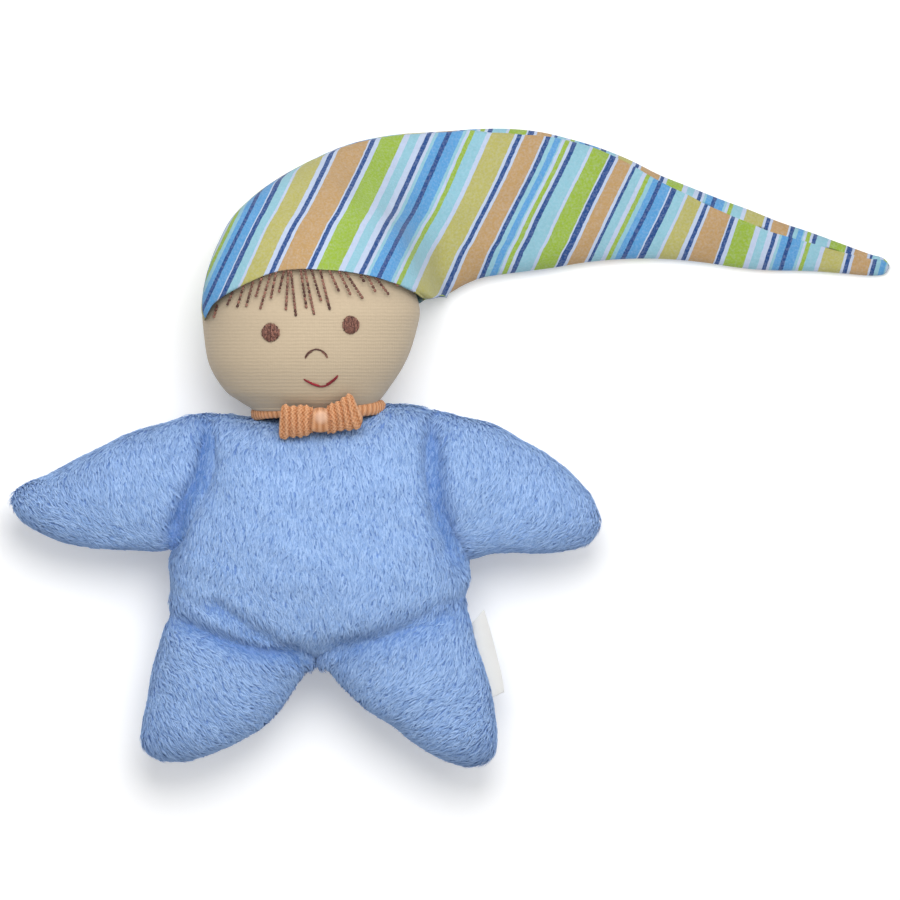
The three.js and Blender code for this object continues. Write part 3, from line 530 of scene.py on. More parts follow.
HEAD = Stuffed(HEAD_ORIGIN, 90, 1, [
    [y * HEAD_LENGTH, far * HEAD_WIDTH / 2, near * HEAD_WIDTH / 2, thick * HEAD_DEPTH / 2, 0]
    for y, far, near, thick in [
        (-0.018, 0.55, -0.51, 0.42), (0.012, 0.65, -0.605, 0.52), (0.064, 0.79, -0.69, 0.66),
        (0.173, 0.925, -0.835, 0.85), (0.3, 0.975, -0.935, 0.95), (0.48, 1.0, -1.0, 1),
        (0.65, 0.97, -0.93, 0.97), (0.82, 0.78, -0.76, 0.82), (0.915, 0.55, -0.53, 0.58)]], 2.0, 5.5)


def limb(x, y, heading, side, rows, reach, root, depth, end_shift):
    """A limb's form, from its knuckle in the body to its rounded tip. A row gives the share of its reach,
    of half its root towards both edges, and of half its depth."""
    origin = (x * BODY_WIDTH / 2, y * BODY_LENGTH / 2, SEAM_HEIGHT)
    stations = shares(rows, reach, root / 2, depth / 2, LIMB_DROOP)
    return Stuffed(origin, heading, side, stations, depth / 2, reach - stations[-1, 0], end_shift)


LIMBS = {
    "left_arm": limb(0.9, 0.41, 10.5, 1, [
        (0, 1, -1, 1), (0.17, 0.89, -1.0, 0.99), (0.4, 0.68, -1.0, 0.95), (0.63, 0.34, -1.03, 0.84),
        (0.81, 0.01, -1.0, 0.68)], 41.5, 45, 25, -5.5),
    "right_arm": limb(-0.895, 0.44, 166, -1, [
        (0, 1, -1, 1), (0.12, 0.93, -1.07, 0.99), (0.3, 0.63, -1.14, 0.95), (0.55, 0.24, -1.21, 0.86),
        (0.78, -0.14, -1.16, 0.68), (0.88, -0.36, -1.08, 0.52)], 50.2, 45, 25, -1.6),
    "left_leg": limb(0.489, -0.743, -68.9, 1, [
        (0, 1, -1, 1), (0.12, 1.0, -0.93, 1), (0.28, 0.98, -0.8, 0.98), (0.45, 0.95, -0.66, 0.95),
        (0.64, 0.9, -0.4, 0.88), (0.8, 0.8, -0.15, 0.74)], 47.3, 45.6, 28, 1.8),
    "right_leg": limb(-0.511, -0.782, -108.4, -1, [
        (0, 1, -1, 1), (0.1, 1.08, -0.95, 1), (0.28, 1.07, -0.84, 0.98), (0.46, 1.04, -0.73, 0.95),
        (0.66, 1.02, -0.48, 0.88), (0.82, 0.94, -0.2, 0.74)], 42.6, 45.6, 28, 3),
}
# The closing seam of the back: from one X to another, at a Y, and the ridge that it draws in
CLOSING_SEAM = (-7.4, 7.4, -7.5)
SEAM_RISE = 0.75
SEAM_HALF_WIDTH = 1.6
# The height of the flattened back, how softly it rounds off, and up to which height above it
BACK_LEVEL = 0.9
BACK_SOFTNESS = 0.35
BACK_REACH = 6
# How far the body's top edge is raised at each X, both in pixels
SHOULDERS = [(170, 6), (200, 5), (222, 0), (252, -3), (300, -3), (360, 1), (384, 9), (410, 8),
             (440, 5), (470, 0)]

# Each limb's outline in the photograph, from the crease over the tip and back, and the tip's share of it
LIMB_OUTLINES = {
    "right_arm": ([
        (206, 407.5), (190, 411), (174, 416.5), (141, 428), (116, 437), (83, 454.5), (50, 469), (25, 479.5),
        (12, 490), (8, 503), (15, 517), (33, 532), (55, 542), (83, 547.5), (116, 551.5), (149, 553),
        (170, 554.5)], 0.545),
    "left_arm": ([
        (438, 405), (471, 415), (490, 421), (512, 431.5), (535, 443.5), (556, 459), (575, 474.5), (591, 490),
        (600, 509), (602, 524), (596, 538), (586, 546.5), (568, 552), (541, 555), (512, 555.5), (491, 556.5),
        (468, 563)], 0.575),
    "right_leg": ([
        (170, 592), (163, 620), (156, 648), (150, 672), (144, 697), (138.5, 722), (137.5, 738), (143, 751),
        (156, 760), (178, 763), (200, 760), (222, 751.5), (244, 739.5), (266, 724), (284, 705), (299, 683),
        (308, 672.5), (316, 667)], 0.5),
    "left_leg": ([
        (469, 600), (474, 621), (480, 645), (487, 670), (493, 692), (497, 714), (499, 735), (498, 750),
        (491, 762), (476, 768.5), (458, 766.5), (438, 758.5), (416, 745.5), (393, 730), (370, 714.5),
        (350, 695.5), (334, 679), (324, 669.5), (317, 667)], 0.5),
}
# The points that an outline is cut into, and half of each limb's depth at its root, in millimetres
OUTLINE_STEPS = 600
LIMB_HALF_DEPTH = {"left_arm": 12.5, "right_arm": 12.5, "left_leg": 14, "right_leg": 14}

# Creases of the plush, where the cover is drawn in: points in pixels, depth and half width in millimetres
CREASES = [
    ([(208, 400), (206, 421), (202, 466), (184, 502), (173, 535), (164, 562)], 4.2, 3.0),
    ([(430, 400), (433, 430), (436, 473), (441, 513), (453, 546), (470, 580)], 3.2, 3.6),
    ([(160, 603), (176, 617), (209, 634), (248, 647), (290, 653), (318, 668)], 3.0, 3.0),
    ([(480, 592), (460, 604), (426, 622), (386, 634), (350, 646), (318, 668)], 2.1, 4.2),
    ([(200, 592), (226, 611), (250, 628), (285, 641)], 1.6, 3.0),
]


def crease_depth(points):
    """How far the cover is drawn in: for each crease, its depth times a bell curve of the distance to it."""
    flat = points[..., :2].reshape(-1, 2)
    drawn = np.zeros(len(flat))
    for line, depth, width in CREASES:
        path = in_pixels(length_along(line, 60))
        gap = np.linalg.norm(flat[:, None] - path, axis=2)
        share = gap.argmin(1) / (len(path) - 1)
        fade = smooth_step(0, 0.22, np.minimum(share, 1 - share))
        drawn = np.maximum(drawn, depth * fade * np.exp(-(gap.min(1) / width) ** 2))
    front = smooth_step(-12, 2, points[..., 2].ravel() - SEAM_HEIGHT)
    return (drawn * (0.45 + 0.55 * front)).reshape(points.shape[:-1])


def limb_rings(name, body_rings=90, sides=110, dome_rings=12):
    """Rings between the two edges of a limb's outline: ellipses whose depth falls off at the tip, and a
    half ellipsoid at the root, inside the body."""
    outline, tip = LIMB_OUTLINES[name]
    fine = in_pixels(length_along(outline, OUTLINE_STEPS))
    run = np.linspace(0, 1, OUTLINE_STEPS)
    heading = LIMBS[name].along[:2]
    inset = fine - PILE_ROOM * unit(np.gradient(fine, axis=0))[:, ::-1] * [1, -1] * turning(fine)
    share = np.sin(np.linspace(0, math.pi / 2, body_rings))
    first, second = (np.stack([np.interp(place, run, inset[:, axis]) for axis in (0, 1)], -1)
                     for place in (share * tip, 1 - share * (1 - tip)))
    middle, half = (first + second) / 2, (first - second) / 2
    reach = (middle - middle[0]) @ heading
    wide = np.linalg.norm(half, axis=1) / np.linalg.norm(half[0])
    closing = np.sqrt(np.clip(1 - (np.clip(reach / reach[-1] - 0.7, 0, 1) / 0.3) ** 2, 0, 1))
    depth = (LIMB_HALF_DEPTH[name] - PILE_ROOM) * wide**0.3 * closing
    lift = -LIMB_DROOP * reach / reach[-1]
    turn = np.linspace(0, math.pi / 2, dome_rings + 1)[:0:-1]
    back = middle[0] - LIMB_HALF_DEPTH[name] * np.sin(turn)[:, None] * heading
    middle, half = np.concatenate([back, middle]), np.concatenate([np.cos(turn)[:, None] * half[:1], half])
    depth, lift = np.concatenate([depth[0] * np.cos(turn), depth]), np.concatenate([0 * turn, lift])
    around = np.linspace(0, 2 * math.pi, sides, endpoint=False)
    flat = middle[:, None] + half[:, None] * np.cos(around)[:, None]
    high = SEAM_HEIGHT + lift[:, None] + depth[:, None] * np.sin(around)
    return np.concatenate([flat, high[..., None]], -1)


def turning(path):
    """1 where a path turns to the left round its inside, or -1 where it turns to the right."""
    (ax, ay), (bx, by) = path[len(path) // 2] - path[0], path[-1] - path[0]
    return np.sign(ax * by - ay * bx)


def bend_with_limb(piece):
    """A piece of a limb keeps its place, with its transform moved into its points."""
    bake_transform(piece)


def shouldered(rings):
    """The top edge of the body follows the photograph: points near it move along Y by a share of the rise
    that belongs to their X."""
    x, rise = np.array(SHOULDERS, float).T
    lift = np.interp(rings[..., 0], (x - ORIGIN_PIXEL[0]) * PIXEL, rise * PIXEL)
    rings = rings.copy()
    rings[..., 1] += lift * smooth_step(18, 32, rings[..., 1])
    return rings


def eased(rings, rounds):
    """Rounds off the bends of a form: each inner ring turns into a mean with its two neighbours."""
    for _ in range(rounds):
        rings[2:-2] = rings[1:-3] / 4 + rings[2:-2] / 2 + rings[3:-1] / 4
    return rings


def off_the_seam(points):
    """Distance in the plane from the closing seam of the back."""
    start, end, level = CLOSING_SEAM
    x, y = points[..., 0], points[..., 1]
    return np.hypot(x - np.clip(x, start, end), y - level)


def flat_back(rings):
    """Presses the lowest part of a form flat on the surface that it lies on, with the closing seam drawn
    in: heights near the back's level turn into the logarithm of one plus their exponential."""
    rings = rings.copy()
    floor = BACK_LEVEL + SEAM_RISE * np.exp(-(off_the_seam(rings) / SEAM_HALF_WIDTH) ** 2)
    above = rings[..., 2] - floor
    low = floor + BACK_SOFTNESS * np.log1p(np.exp(np.clip(above / BACK_SOFTNESS, -30, 30)))
    rings[..., 2] = np.where(above < BACK_REACH, low, rings[..., 2])
    return rings


def stuffing(rings, seed, amount):
    """Uneven filling: the skin moves in and out along its normal by broad and narrow ripples and creases."""
    swell = amount * (0.75 * ripple(rings, 26, seed) + 0.12 * ripple(rings, 10, seed + 1))
    swell -= crease_depth(rings)
    swell[[0, -1]] = swell[[0, -1]].mean(1, keepdims=True)
    return rings + grid_normals(rings) * swell[..., None]


def grid_normals(rings):
    """Outward unit normals of a grid closed round its rings, by central differences."""
    along = np.gradient(rings, axis=0)
    around = np.roll(rings, -1, 1) - np.roll(rings, 1, 1)
    normals = np.cross(along, around)
    middle = rings[len(rings) // 2]
    facing = ((middle - middle.mean(0)) * normals[len(rings) // 2]).sum()
    normals = unit(normals) * np.sign(facing)
    for pole, next_ring in ((0, 1), (-1, -2)):
        normals[pole] = unit(normals[next_ring].mean(0))
    return normals


def scattered(rings, smooth_rings, count, seed):
    """Chance places spread evenly by area over a grid: the points, their normals, and where they lie on the
    same grid before it was creased."""
    chance = np.random.default_rng(seed)
    ahead = np.roll(rings, -1, 1)
    a, b, c, d = rings[:-1], rings[1:], ahead[1:], ahead[:-1]
    area = np.linalg.norm(np.cross(c - a, b - d), axis=-1).ravel()
    total = np.cumsum(area)
    cell = np.searchsorted(total, (np.arange(count) + chance.random(count)) / count * total[-1])
    cell = np.minimum(cell, len(area) - 1)
    u, v = chance.random((2, count, 1))
    def at_places(grid):
        ahead = np.roll(grid, -1, 1)
        a, b, c, d = (part.reshape(-1, 3)[cell] for part in (grid[:-1], grid[1:], ahead[1:], ahead[:-1]))
        return a * (1 - u) * (1 - v) + b * u * (1 - v) + c * u * v + d * (1 - u) * v
    return at_places(rings), unit(at_places(grid_normals(rings))), at_places(smooth_rings)


# A tuft: a triangle at the root and one at the waist, and a tip, with each point's attributes and its
# place in the tuft's own cell of the map
TUFT_FACES = np.array([(0, 2, 1), (0, 1, 4), (0, 4, 3), (1, 2, 5), (1, 5, 4), (2, 0, 3), (2, 3, 5),
                       (3, 4, 6), (4, 5, 6), (5, 3, 6)])
# Each point's share of painted light: from the root to the tip, and on the ridge that stands up
TUFT_TIP = np.array([0, 0, 0, 0.55, 0.55, 0.55, 1.0])
TUFT_RIDGE = np.array([0, 0, 1.0, 0, 0, 1.0, 0.8])
TUFT_MAP = np.array([(0.1, 0.1), (0.5, 0.1), (0.9, 0.1), (0.2, 0.5), (0.5, 0.5), (0.8, 0.5), (0.5, 0.9)])
# A tuft's length and width in millimetres, before chance changes them, and the tufts on the torso, for
# its front and again for its back, and on a limb, before those inside another form are left out
TUFT_LENGTH = 4.0
TUFT_WIDTH = 0.7
TORSO_TUFTS = 46000
LIMB_TUFTS = 15500
# How far the pile runs on inside the next form, and its gaps to the head and to the closing seam
PILE_OVERLAP = 3.5
HEAD_GAP = 1.8
SEAM_GAP = 1.3
# The depth of crease at which a tuft's painted shade is darkest
DARK_CREASE = 3.5


def pile(name, roots, normals, comb, seed):
    """Tufts of fibre: three-sided spikes that rise from their roots and bend over along the comb."""
    chance = np.random.default_rng(seed)
    count = len(roots)
    side = unit(np.cross(normals, comb))
    ahead = np.cross(side, normals)
    swirl = (0.22 * ripple(roots, 21, seed + 1) + 0.14 * ripple(roots, 5, seed + 2)
             + chance.normal(0, 0.2, count))
    lay = unit(ahead * np.cos(swirl)[:, None] + side * np.sin(swirl)[:, None])
    curl = np.cross(normals, lay)
    long = TUFT_LENGTH * chance.uniform(0.6, 1.15, (count, 1))
    wide = TUFT_WIDTH * chance.uniform(0.6, 1.25, (count, 1))
    rise = chance.uniform(0.03, 0.13, (count, 1))
    bend = chance.normal(0, 0.26, (count, 1))
    middle = roots + long * (0.5 * lay * (1 - 0.4 * rise) + 0.62 * rise * normals)
    tip = roots + long * (0.98 * lay * (1 - 0.4 * rise) + 0.6 * rise * normals + 0.35 * bend * curl)
    root = roots - 0.35 * normals
    spokes = [0.5 * curl, -0.5 * curl, 0.19 * normals - 0.1 * lay]
    base = [root + wide * spoke for spoke in spokes]
    waist = [middle + 0.85 * wide * spoke for spoke in spokes]
    points = np.stack([*base, *waist, tip], 1)
    each = len(TUFT_MAP)
    faces = np.arange(count)[:, None, None] * each + TUFT_FACES
    across = math.ceil(math.sqrt(count))
    cell = np.stack([np.arange(count) % across, np.arange(count) // across], -1)[:, None]
    spots = ((cell[:, :, None] + TUFT_MAP[TUFT_FACES]) / across).reshape(-1, 2)
    # Each point carries its share of painted light along the tuft and on its ridge, and of painted shade in
    # the creases
    return mesh_piece(name, points.reshape(-1, 3), [faces.reshape(-1, 3)], FINISHES["plush_tufts"], False,
                      numbers={"tip": np.tile(TUFT_TIP, count), "ridge": np.tile(TUFT_RIDGE, count),
                               "crease": np.repeat(np.clip(crease_depth(roots) / DARK_CREASE, 0, 1), each),
                               "chance": np.repeat(chance.random(count), each)},
                      maps={"OFBake": spots})


def outside_of(points, forms, margin):
    """Which points lie outside all of the forms, grown by the margin."""
    return np.all([form.fullness(points, -PILE_ROOM + margin) > 1 for form in forms], 0)


def combed(name, points):
    """The way that the pile lies: down the body, out along a limb's lower edge, and inwards on the legs."""
    down = np.zeros_like(points)
    down[:, 1] = -1
    if name == "torso":
        down[:, 0] = -0.012 * points[:, 0] * smooth_step(-5, -35, points[:, 1])
        return unit(down)
    form = LIMBS[name]
    if name.endswith("arm"):
        reach = (points - form.origin) @ form.along
        low = smooth_step(0, 16, form.origin[1] + form.along[1] * reach - 4 - points[:, 1])
        return unit(down * (1 - 0.7 * low)[:, None] - form.along * (0.1 + 0.9 * low)[:, None])
    reach = smooth_step(4, 34, (points - form.origin) @ form.along)
    inwards = 0.8 * (1 + 0.3 * reach) if name == "right_leg" else -0.45 - 1.2 * reach
    return unit(down + inwards[:, None] * [1, 0, 0])


def make_body():
    """The plush star: a torso and four limbs, each a padded cover under its own pile."""
    smooth = shouldered(eased(TORSO.rings(-PILE_ROOM, 90, 150, 20), 16))
    rings = flat_back(stuffing(smooth, 11, 0.9))
    torso = mesh_piece("plush_torso", *closed_skin(rings), FINISHES["plush_cloth"])
    dress(torso, "body", "torso")
    for part, seed in (("front", 21), ("back", 22)):
        roots, normals, before = scattered(rings, smooth, TORSO_TUFTS, seed)
        keep = outside_of(before, LIMBS.values(), -PILE_OVERLAP) & outside_of(roots, [HEAD], HEAD_GAP)
        if part == "front":
            keep &= roots[:, 2] > SEAM_HEIGHT
        else:
            keep &= (roots[:, 2] <= SEAM_HEIGHT) & (off_the_seam(roots) > SEAM_GAP)
        roots, normals = roots[keep], normals[keep]
        tufts = pile(f"torso_pile_{part}", roots, normals, combed("torso", roots), seed)
        dress(tufts, "body")
    for order, name in enumerate(LIMBS):
        smooth = limb_rings(name)
        rings = stuffing(smooth, 31 + order, 0.7)
        cover = mesh_piece(f"plush_{name}", *closed_skin(rings), FINISHES["plush_cloth"])
        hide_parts(name)
        bend_with_limb(cover)
        roots, normals, before = scattered(rings, smooth, LIMB_TUFTS, 41 + order)
        keep = outside_of(before, [TORSO], -PILE_OVERLAP)
        roots, normals = roots[keep], normals[keep]
        tufts = pile(f"{name}_pile", roots, normals, combed(name, roots), 51 + order)
        bend_with_limb(tufts)


# How much the cap presses the head in
UNDER_CAP = 2.2


def make_head():
    """The jersey ball of the head, pressed in a little where the cap covers it."""
    rings = HEAD.rings(0, 100, 160, 14)
    covered = smooth_step(26, 36, rings[..., 1] - HEAD_ORIGIN[1])[..., None]
    rings = rings - covered * UNDER_CAP * grid_normals(rings)
    head = mesh_piece("jersey_head", *closed_skin(rings), FINISHES["jersey"])
    dress(head, "head", "head")


# Cap

# The cap's top edge, its lower edge beyond the corner where it leaves the head, and its brim, in pixels
CAP_OUTLINE = [
    (205, 321), (202, 312), (203, 295), (208, 272), (218, 245), (235, 215), (266, 187), (302, 165),
    (346, 145), (388, 135), (420, 132), (450, 130), (480, 128), (510, 128), (540, 131), (570, 138),
    (600, 147), (630, 159), (660, 174), (690, 186), (720, 198), (750, 209), (780, 221), (810, 231),
    (840, 242), (870, 253), (884, 257), (890, 263), (891, 266)]
CAP_HEM = [
    (422, 298), (430, 299.5), (440, 297), (450, 292.5), (465, 284), (480, 278), (495, 275), (525, 271),
    (555, 267), (585, 262), (615, 259), (645, 258), (675, 259), (705, 262), (735, 266.5), (765, 269.5),
    (810, 270.5), (840, 272.5), (870, 275), (885, 274), (890, 269), (891, 266)]
BRIM = [
    (205, 321), (209, 313), (216, 303), (236, 290), (262, 278), (281, 272), (300, 270), (325, 271),
    (349, 273), (373, 277), (397, 284.5), (413, 291), (422, 298)]
# How far the top seam lies below the tail's top edge, at each X, in pixels
SEAM_DROP = [
    (435, 0), (468, 0.3), (490, 4), (525, 5), (555, 2.5), (591, 1.5), (630, 4), (661, 6.5), (700, 10),
    (735, 13), (770, 13.5), (802, 11.5), (837, 9), (872, 5), (888, 1.5)]
# How far the back of the brim hangs below a straight line, the cloth's thickness and its room on the head
NAPE_DROP = 12.5
CLOTH = 0.5
CAP_ROOM = 1.0
# Where the crown ends and where the tail's tip starts, in X, with the Y pixels of the edges at the first
CROWN_END = 38.0
TIP_START = 94.0
CROWN_TOP = 130.3
CROWN_HEM = 297.5
FOLD_LENGTH = 20.0
# How deep the rings that two pieces share sink into the cloth, from the end inwards
TUCK = (0.16, 0.07, 0.02)
# The height at which the tail lies, its depth at each X, and the share of it below the tail's edge
LYING = 0.45
TAIL_DEPTH = [(38, 13.2), (60, 11.6), (90, 9.4), (105, 7.6), (136, 5.4), (165, 3.4), (171, 1.6)]
BELOW_EDGE = 0.42
# Above all of the cap
ABOVE = 80.0
# The grid: rings of the crown and of the tail, and steps over the front, the rolled top and the back
CROWN_RINGS = 130
TAIL_RINGS = 170
CAP_FRONT = 64
CAP_BAND = 6
CAP_BACK = 56
DRAPE_ROUNDS = 900
# The pieces that fold: from which body to which, and the X and the height of the fold
CAP_FOLDS = {"cap_tail_upper": ("head", "cap_tail", CROWN_END, 7),
             "cap_tail_tip": ("cap_tail", "cap_tip", TIP_START, 5)}

# The pixel across the stripes at which the print starts, and its millimetres to a pixel
FIRST_STRIPE = 262
STRIPE_ACROSS = 0.27
# The print's pixel at a pixel of the photograph, where the cloth is stretched or gathered
STRIPE_SPREAD = [(-110, -133), (190, 167), (262, 262), (669, 669), (827, 845), (900, 927), (1000, 1042)]
# The stripes' slant on the crown and on the tail, from the one X to the other, about a Y
PRINT_SLANT = 0.47
TAIL_SLANT = 0.28
SLANT_CHANGE = (640, 780)
SLANT_LEVEL = 240
# Soft folds that shift the stripes: each fold's Y, and the X where it begins and ends
PRINT_FOLDS = [(219, 262, 440), (245, 430, 570)]
FOLD_SHIFT = 1.8
# How far the back panel's print is shifted, and how steep cloth is where it shows longer than it is
BACK_SHIFT = 92
STEEP = 1.8


def level_at(outline, x):
    """The smooth Y of an outline in pixels at each X in millimetres."""
    fine = in_pixels(rows_between(outline, np.linspace(0, len(outline) - 1, 60 * len(outline))))
    order = np.argsort(fine[:, 0])
    return np.interp(x, fine[order, 0], fine[order, 1])


def head_height(x, y, grow):
    """Half the depth of the grown head over a point, or 0 beside it."""
    distance, wide = y - HEAD.origin[1], HEAD.origin[0] - x
    held = np.clip(distance, HEAD.stations[0, 0], HEAD.stations[-1, 0])
    rows = rows_between(HEAD.stations, np.linspace(0, len(HEAD.stations) - 1, 400))
    far, near, thick = (np.interp(held, rows[:, 0], column) for column in rows.T[1:4])
    dome = np.where(distance < held, HEAD.start_dome, HEAD.end_dome) + grow
    left = 1 - ((wide - (far + near) / 2) / ((far - near) / 2 + grow)) ** 2 - ((distance - held) / dome) ** 2
    return (thick + grow) * np.sqrt(np.clip(left, 0, 1))


def half_turn(steps):
    """Shares from 0 to 1 that crowd at both ends, as the sides of half a circle do seen from above."""
    return (1 - np.cos(np.linspace(0, math.pi, steps + 1))) / 2


def cap_edge(line, corner):
    """One edge of the cap, ring by ring: evenly spaced up to the crown's end, then straight along X."""
    split = CROWN_END / PIXEL + ORIGIN_PIXEL[0]
    crown = sum(pixel[0] < split for pixel in line[:-1])
    x = np.linspace(CROWN_END, in_pixels(CAP_OUTLINE[-1])[0] - 0.05, TAIL_RINGS + 1)[1:]
    return np.concatenate([in_pixels(length_along([*line[:crown], (split, corner)], CROWN_RINGS)),
                           np.stack([x, level_at(line[crown - 1:], x)], -1)])


def cap_rings():
    """Lines across the cap from its hem to its top, for the front, the rolled band and the back.

    A ring runs from the hem edge (share 0) to the top edge (share 1). The crown's rings fan round the
    corner where the brim meets the hem, and the tail's stand straight across it."""
    tops, hems = cap_edge(CAP_OUTLINE, CROWN_TOP), cap_edge(CAP_HEM, CROWN_HEM)
    count = len(tops)
    drop_at, drop = np.array(SEAM_DROP, float).T
    drop = np.interp(tops[:, 0], (drop_at - ORIGIN_PIXEL[0]) * PIXEL, drop * PIXEL)
    seam_share = 1 - drop / np.maximum(np.linalg.norm(tops - hems, axis=1), 0.3)
    seam_share = np.clip(seam_share, 0.55, 0.995)[:, None]
    quarter = np.sin(np.linspace(0, math.pi / 2, CAP_BAND + 1))
    over_back = np.broadcast_to(1 - half_turn(CAP_BACK), (count, CAP_BACK + 1))
    share = np.concatenate([seam_share * half_turn(CAP_FRONT), seam_share + (1 - seam_share) * quarter[1:],
                            over_back[:, 1:-1]], 1)
    behind = np.arange(share.shape[1]) > CAP_FRONT + CAP_BAND
    on_chord = hems[:, None] + (tops - hems)[:, None] * share[..., None]
    brim = in_pixels(length_along(BRIM[::-1], 200))
    chord = brim[-1] - brim[0]
    place = ((brim - brim[0]) @ chord) / (chord @ chord)
    bow = brim - brim[0] - place[:, None] * chord
    bulge = np.stack([np.interp(share, place, bow[:, axis]) for axis in (0, 1)], -1)
    nape = np.stack([np.zeros_like(share), -NAPE_DROP * 4 * share * (1 - share)], -1)
    fade = np.clip(1 - np.arange(count) / (CROWN_RINGS * 0.8), 0, 1)[:, None, None] ** 1.5
    return on_chord + fade * np.where(behind[:, None], nape, bulge), share, behind


def draped(height, low, high, held):
    """Taut cloth: each height that isn't held turns into the mean of its four neighbours, again and again,
    and stays between what lies under the cloth and what lies over it."""
    for _ in range(DRAPE_ROUNDS):
        ahead, behind = np.concatenate([height[1:], height[-1:]]), np.concatenate([height[:1], height[:-1]])
        mean = (ahead + behind + np.roll(height, 1, 1) + np.roll(height, -1, 1)) / 4
        height = np.where(held, height, np.clip(mean, low, high))
    return height


def cap_surface():
    """The cap's outer skin: rings from the brim to the tip, each from the hem over the front to the back.

    The tail is a flat lens on the surface that the doll lies on. From there the cloth is drawn taut up to
    its top edge and over the head."""
    flat, share, behind = cap_rings()
    x, y = flat[..., 0], flat[..., 1]
    place = np.clip(np.arange(len(flat)) / CROWN_RINGS, 0, 1)[:, None]
    crown = place < 1
    depth = np.interp(x[:, :1], *np.array(TAIL_DEPTH, float).T)
    root_edge = LYING + BELOW_EDGE * TAIL_DEPTH[0][1]
    fall = smooth_step(0.42, 1.0, place)
    edge = np.where(crown, HEAD_ORIGIN[2] * (1 - fall) + root_edge * fall, LYING + BELOW_EDGE * depth)
    rise = np.where(crown, 2 + 5.6 * smooth_step(0.2, 1, place), (1 - BELOW_EDGE) * depth)
    sink = np.where(crown, 2 + 3.5 * smooth_step(0.2, 1, place), BELOW_EDGE * depth)
    lens = (1 - np.abs(2 * share - 1) ** 2.6) ** 0.55 * (1 - np.abs(2 * share - 1) ** 30) ** 0.5
    over = edge + rise * lens
    under = np.maximum(edge - sink * lens, LYING)
    room = head_height(x, y, CAP_ROOM)
    over_head = np.where(room > 0, HEAD_ORIGIN[2] + room, 0)
    under_head = np.where(room > 0, HEAD_ORIGIN[2] - room, ABOVE)
    sides = np.arange(share.shape[1])
    edges = (sides == 0) | (sides == CAP_FRONT + CAP_BAND)
    low = np.where(behind, LYING, np.maximum(over_head, np.where(crown, LYING, over)))
    high = np.where(behind, np.maximum(np.minimum(under_head, np.where(crown, ABOVE, under)), LYING), ABOVE)
    start = np.clip(np.where(behind, under, over), low, high)
    start = np.where(edges, edge, start)
    high = draped(start, low, high, edges | (x >= CROWN_END + FOLD_LENGTH))
    return np.concatenate([flat, high[..., None]], -1), share


def steep_extra(path, turning_place):
    """The extra length of steep cloth along each ring's path, summed from its turning place: the length of
    each step less a multiple of its length as seen from above."""
    steps = np.diff(path, axis=1)
    extra = np.clip(np.linalg.norm(steps, axis=2) - STEEP * np.linalg.norm(steps[..., :2], axis=2), 0, None)
    total = np.concatenate([np.zeros((len(path), 1)), np.cumsum(extra, 1)], 1)
    return total - np.take_along_axis(total, turning_place[:, None], 1)


def unrolled(points, slant):
    """How much further the print runs on the front and the back panel where the cloth stands steeply."""
    chord = unit(points[:, CAP_FRONT, :2] - points[:, 0, :2])
    way = (chord[:, :1] - chord[:, 1:] * slant) / PIXEL
    over_path = points[:, :CAP_FRONT + 1]
    over = steep_extra(over_path, over_path[..., 2].argmax(1))
    under_path = np.concatenate([points[:, :1], points[:, :CAP_FRONT - 1:-1]], 1)
    under = steep_extra(under_path, under_path[..., 2].argmin(1))
    sides = np.zeros((2,) + points.shape[:2])
    sides[0, :, :CAP_FRONT + 1] = over
    sides[1, :, 0] = under[:, 0]
    sides[1, :, CAP_FRONT:] = under[:, :0:-1]
    return sides * way


def stripe_place(points):
    """The print's coordinate on the front and on the back panel, in millimetres across the stripes: the
    pixel's X plus its Y times the slant, shifted by the soft folds and a broad ripple."""
    px = points[..., 0] / PIXEL + ORIGIN_PIXEL[0]
    py = ORIGIN_PIXEL[1] - points[..., 1] / PIXEL
    slant = PRINT_SLANT + (TAIL_SLANT - PRINT_SLANT) * smooth_step(*SLANT_CHANGE, px)
    across = px + (py - SLANT_LEVEL) * slant + 1.6 * ripple(points * [1, 1, 0], 34, 71)
    for fold, low, high in PRINT_FOLDS:
        along = smooth_step(low - 20, low + 20, px) * (1 - smooth_step(high - 20, high + 20, px))
        across += FOLD_SHIFT * (smooth_step(-8, 8, py - fold) * along - 0.5)
    spread = np.array(STRIPE_SPREAD, float).T
    return [(np.interp(across + further + shift, *spread) - FIRST_STRIPE) * STRIPE_ACROSS
            for further, shift in zip(unrolled(points, slant), (0, BACK_SHIFT))]


def tube_piece(name, outer, inner, places, material):
    """A piece of the cap: an outer and an inner skin joined by rims, with the print's map."""
    rings, sides = outer.shape[:2]
    skin = rings * sides
    quads = grid_quads(rings, sides)
    points = np.concatenate([outer.reshape(-1, 3), inner.reshape(-1, 3)])
    rim = np.arange(sides)
    rim = np.stack([rim, (rim + 1) % sides, (rim + 1) % sides + skin, rim + skin], -1)
    far_rim = rim[:, [0, 3, 2, 1]] + skin - sides
    [faces] = outward(points, [np.concatenate([quads, quads[:, ::-1] + skin, rim, far_rim])])
    smooth = np.arange(len(faces)) < 2 * len(quads)
    last = (faces % sides).max(1)
    wraps = last - (faces % sides).min(1) > 1
    on_front = ((last <= CAP_FRONT) & ~wraps)[:, None]
    front, back = (np.tile(place.ravel(), 2)[faces] for place in places)
    v = faces % skin // sides / rings
    cloth = np.stack([np.where(on_front, front, back), v], -1)
    return mesh_piece(name, points, [faces], material, smooth, maps={"cloth": cloth})


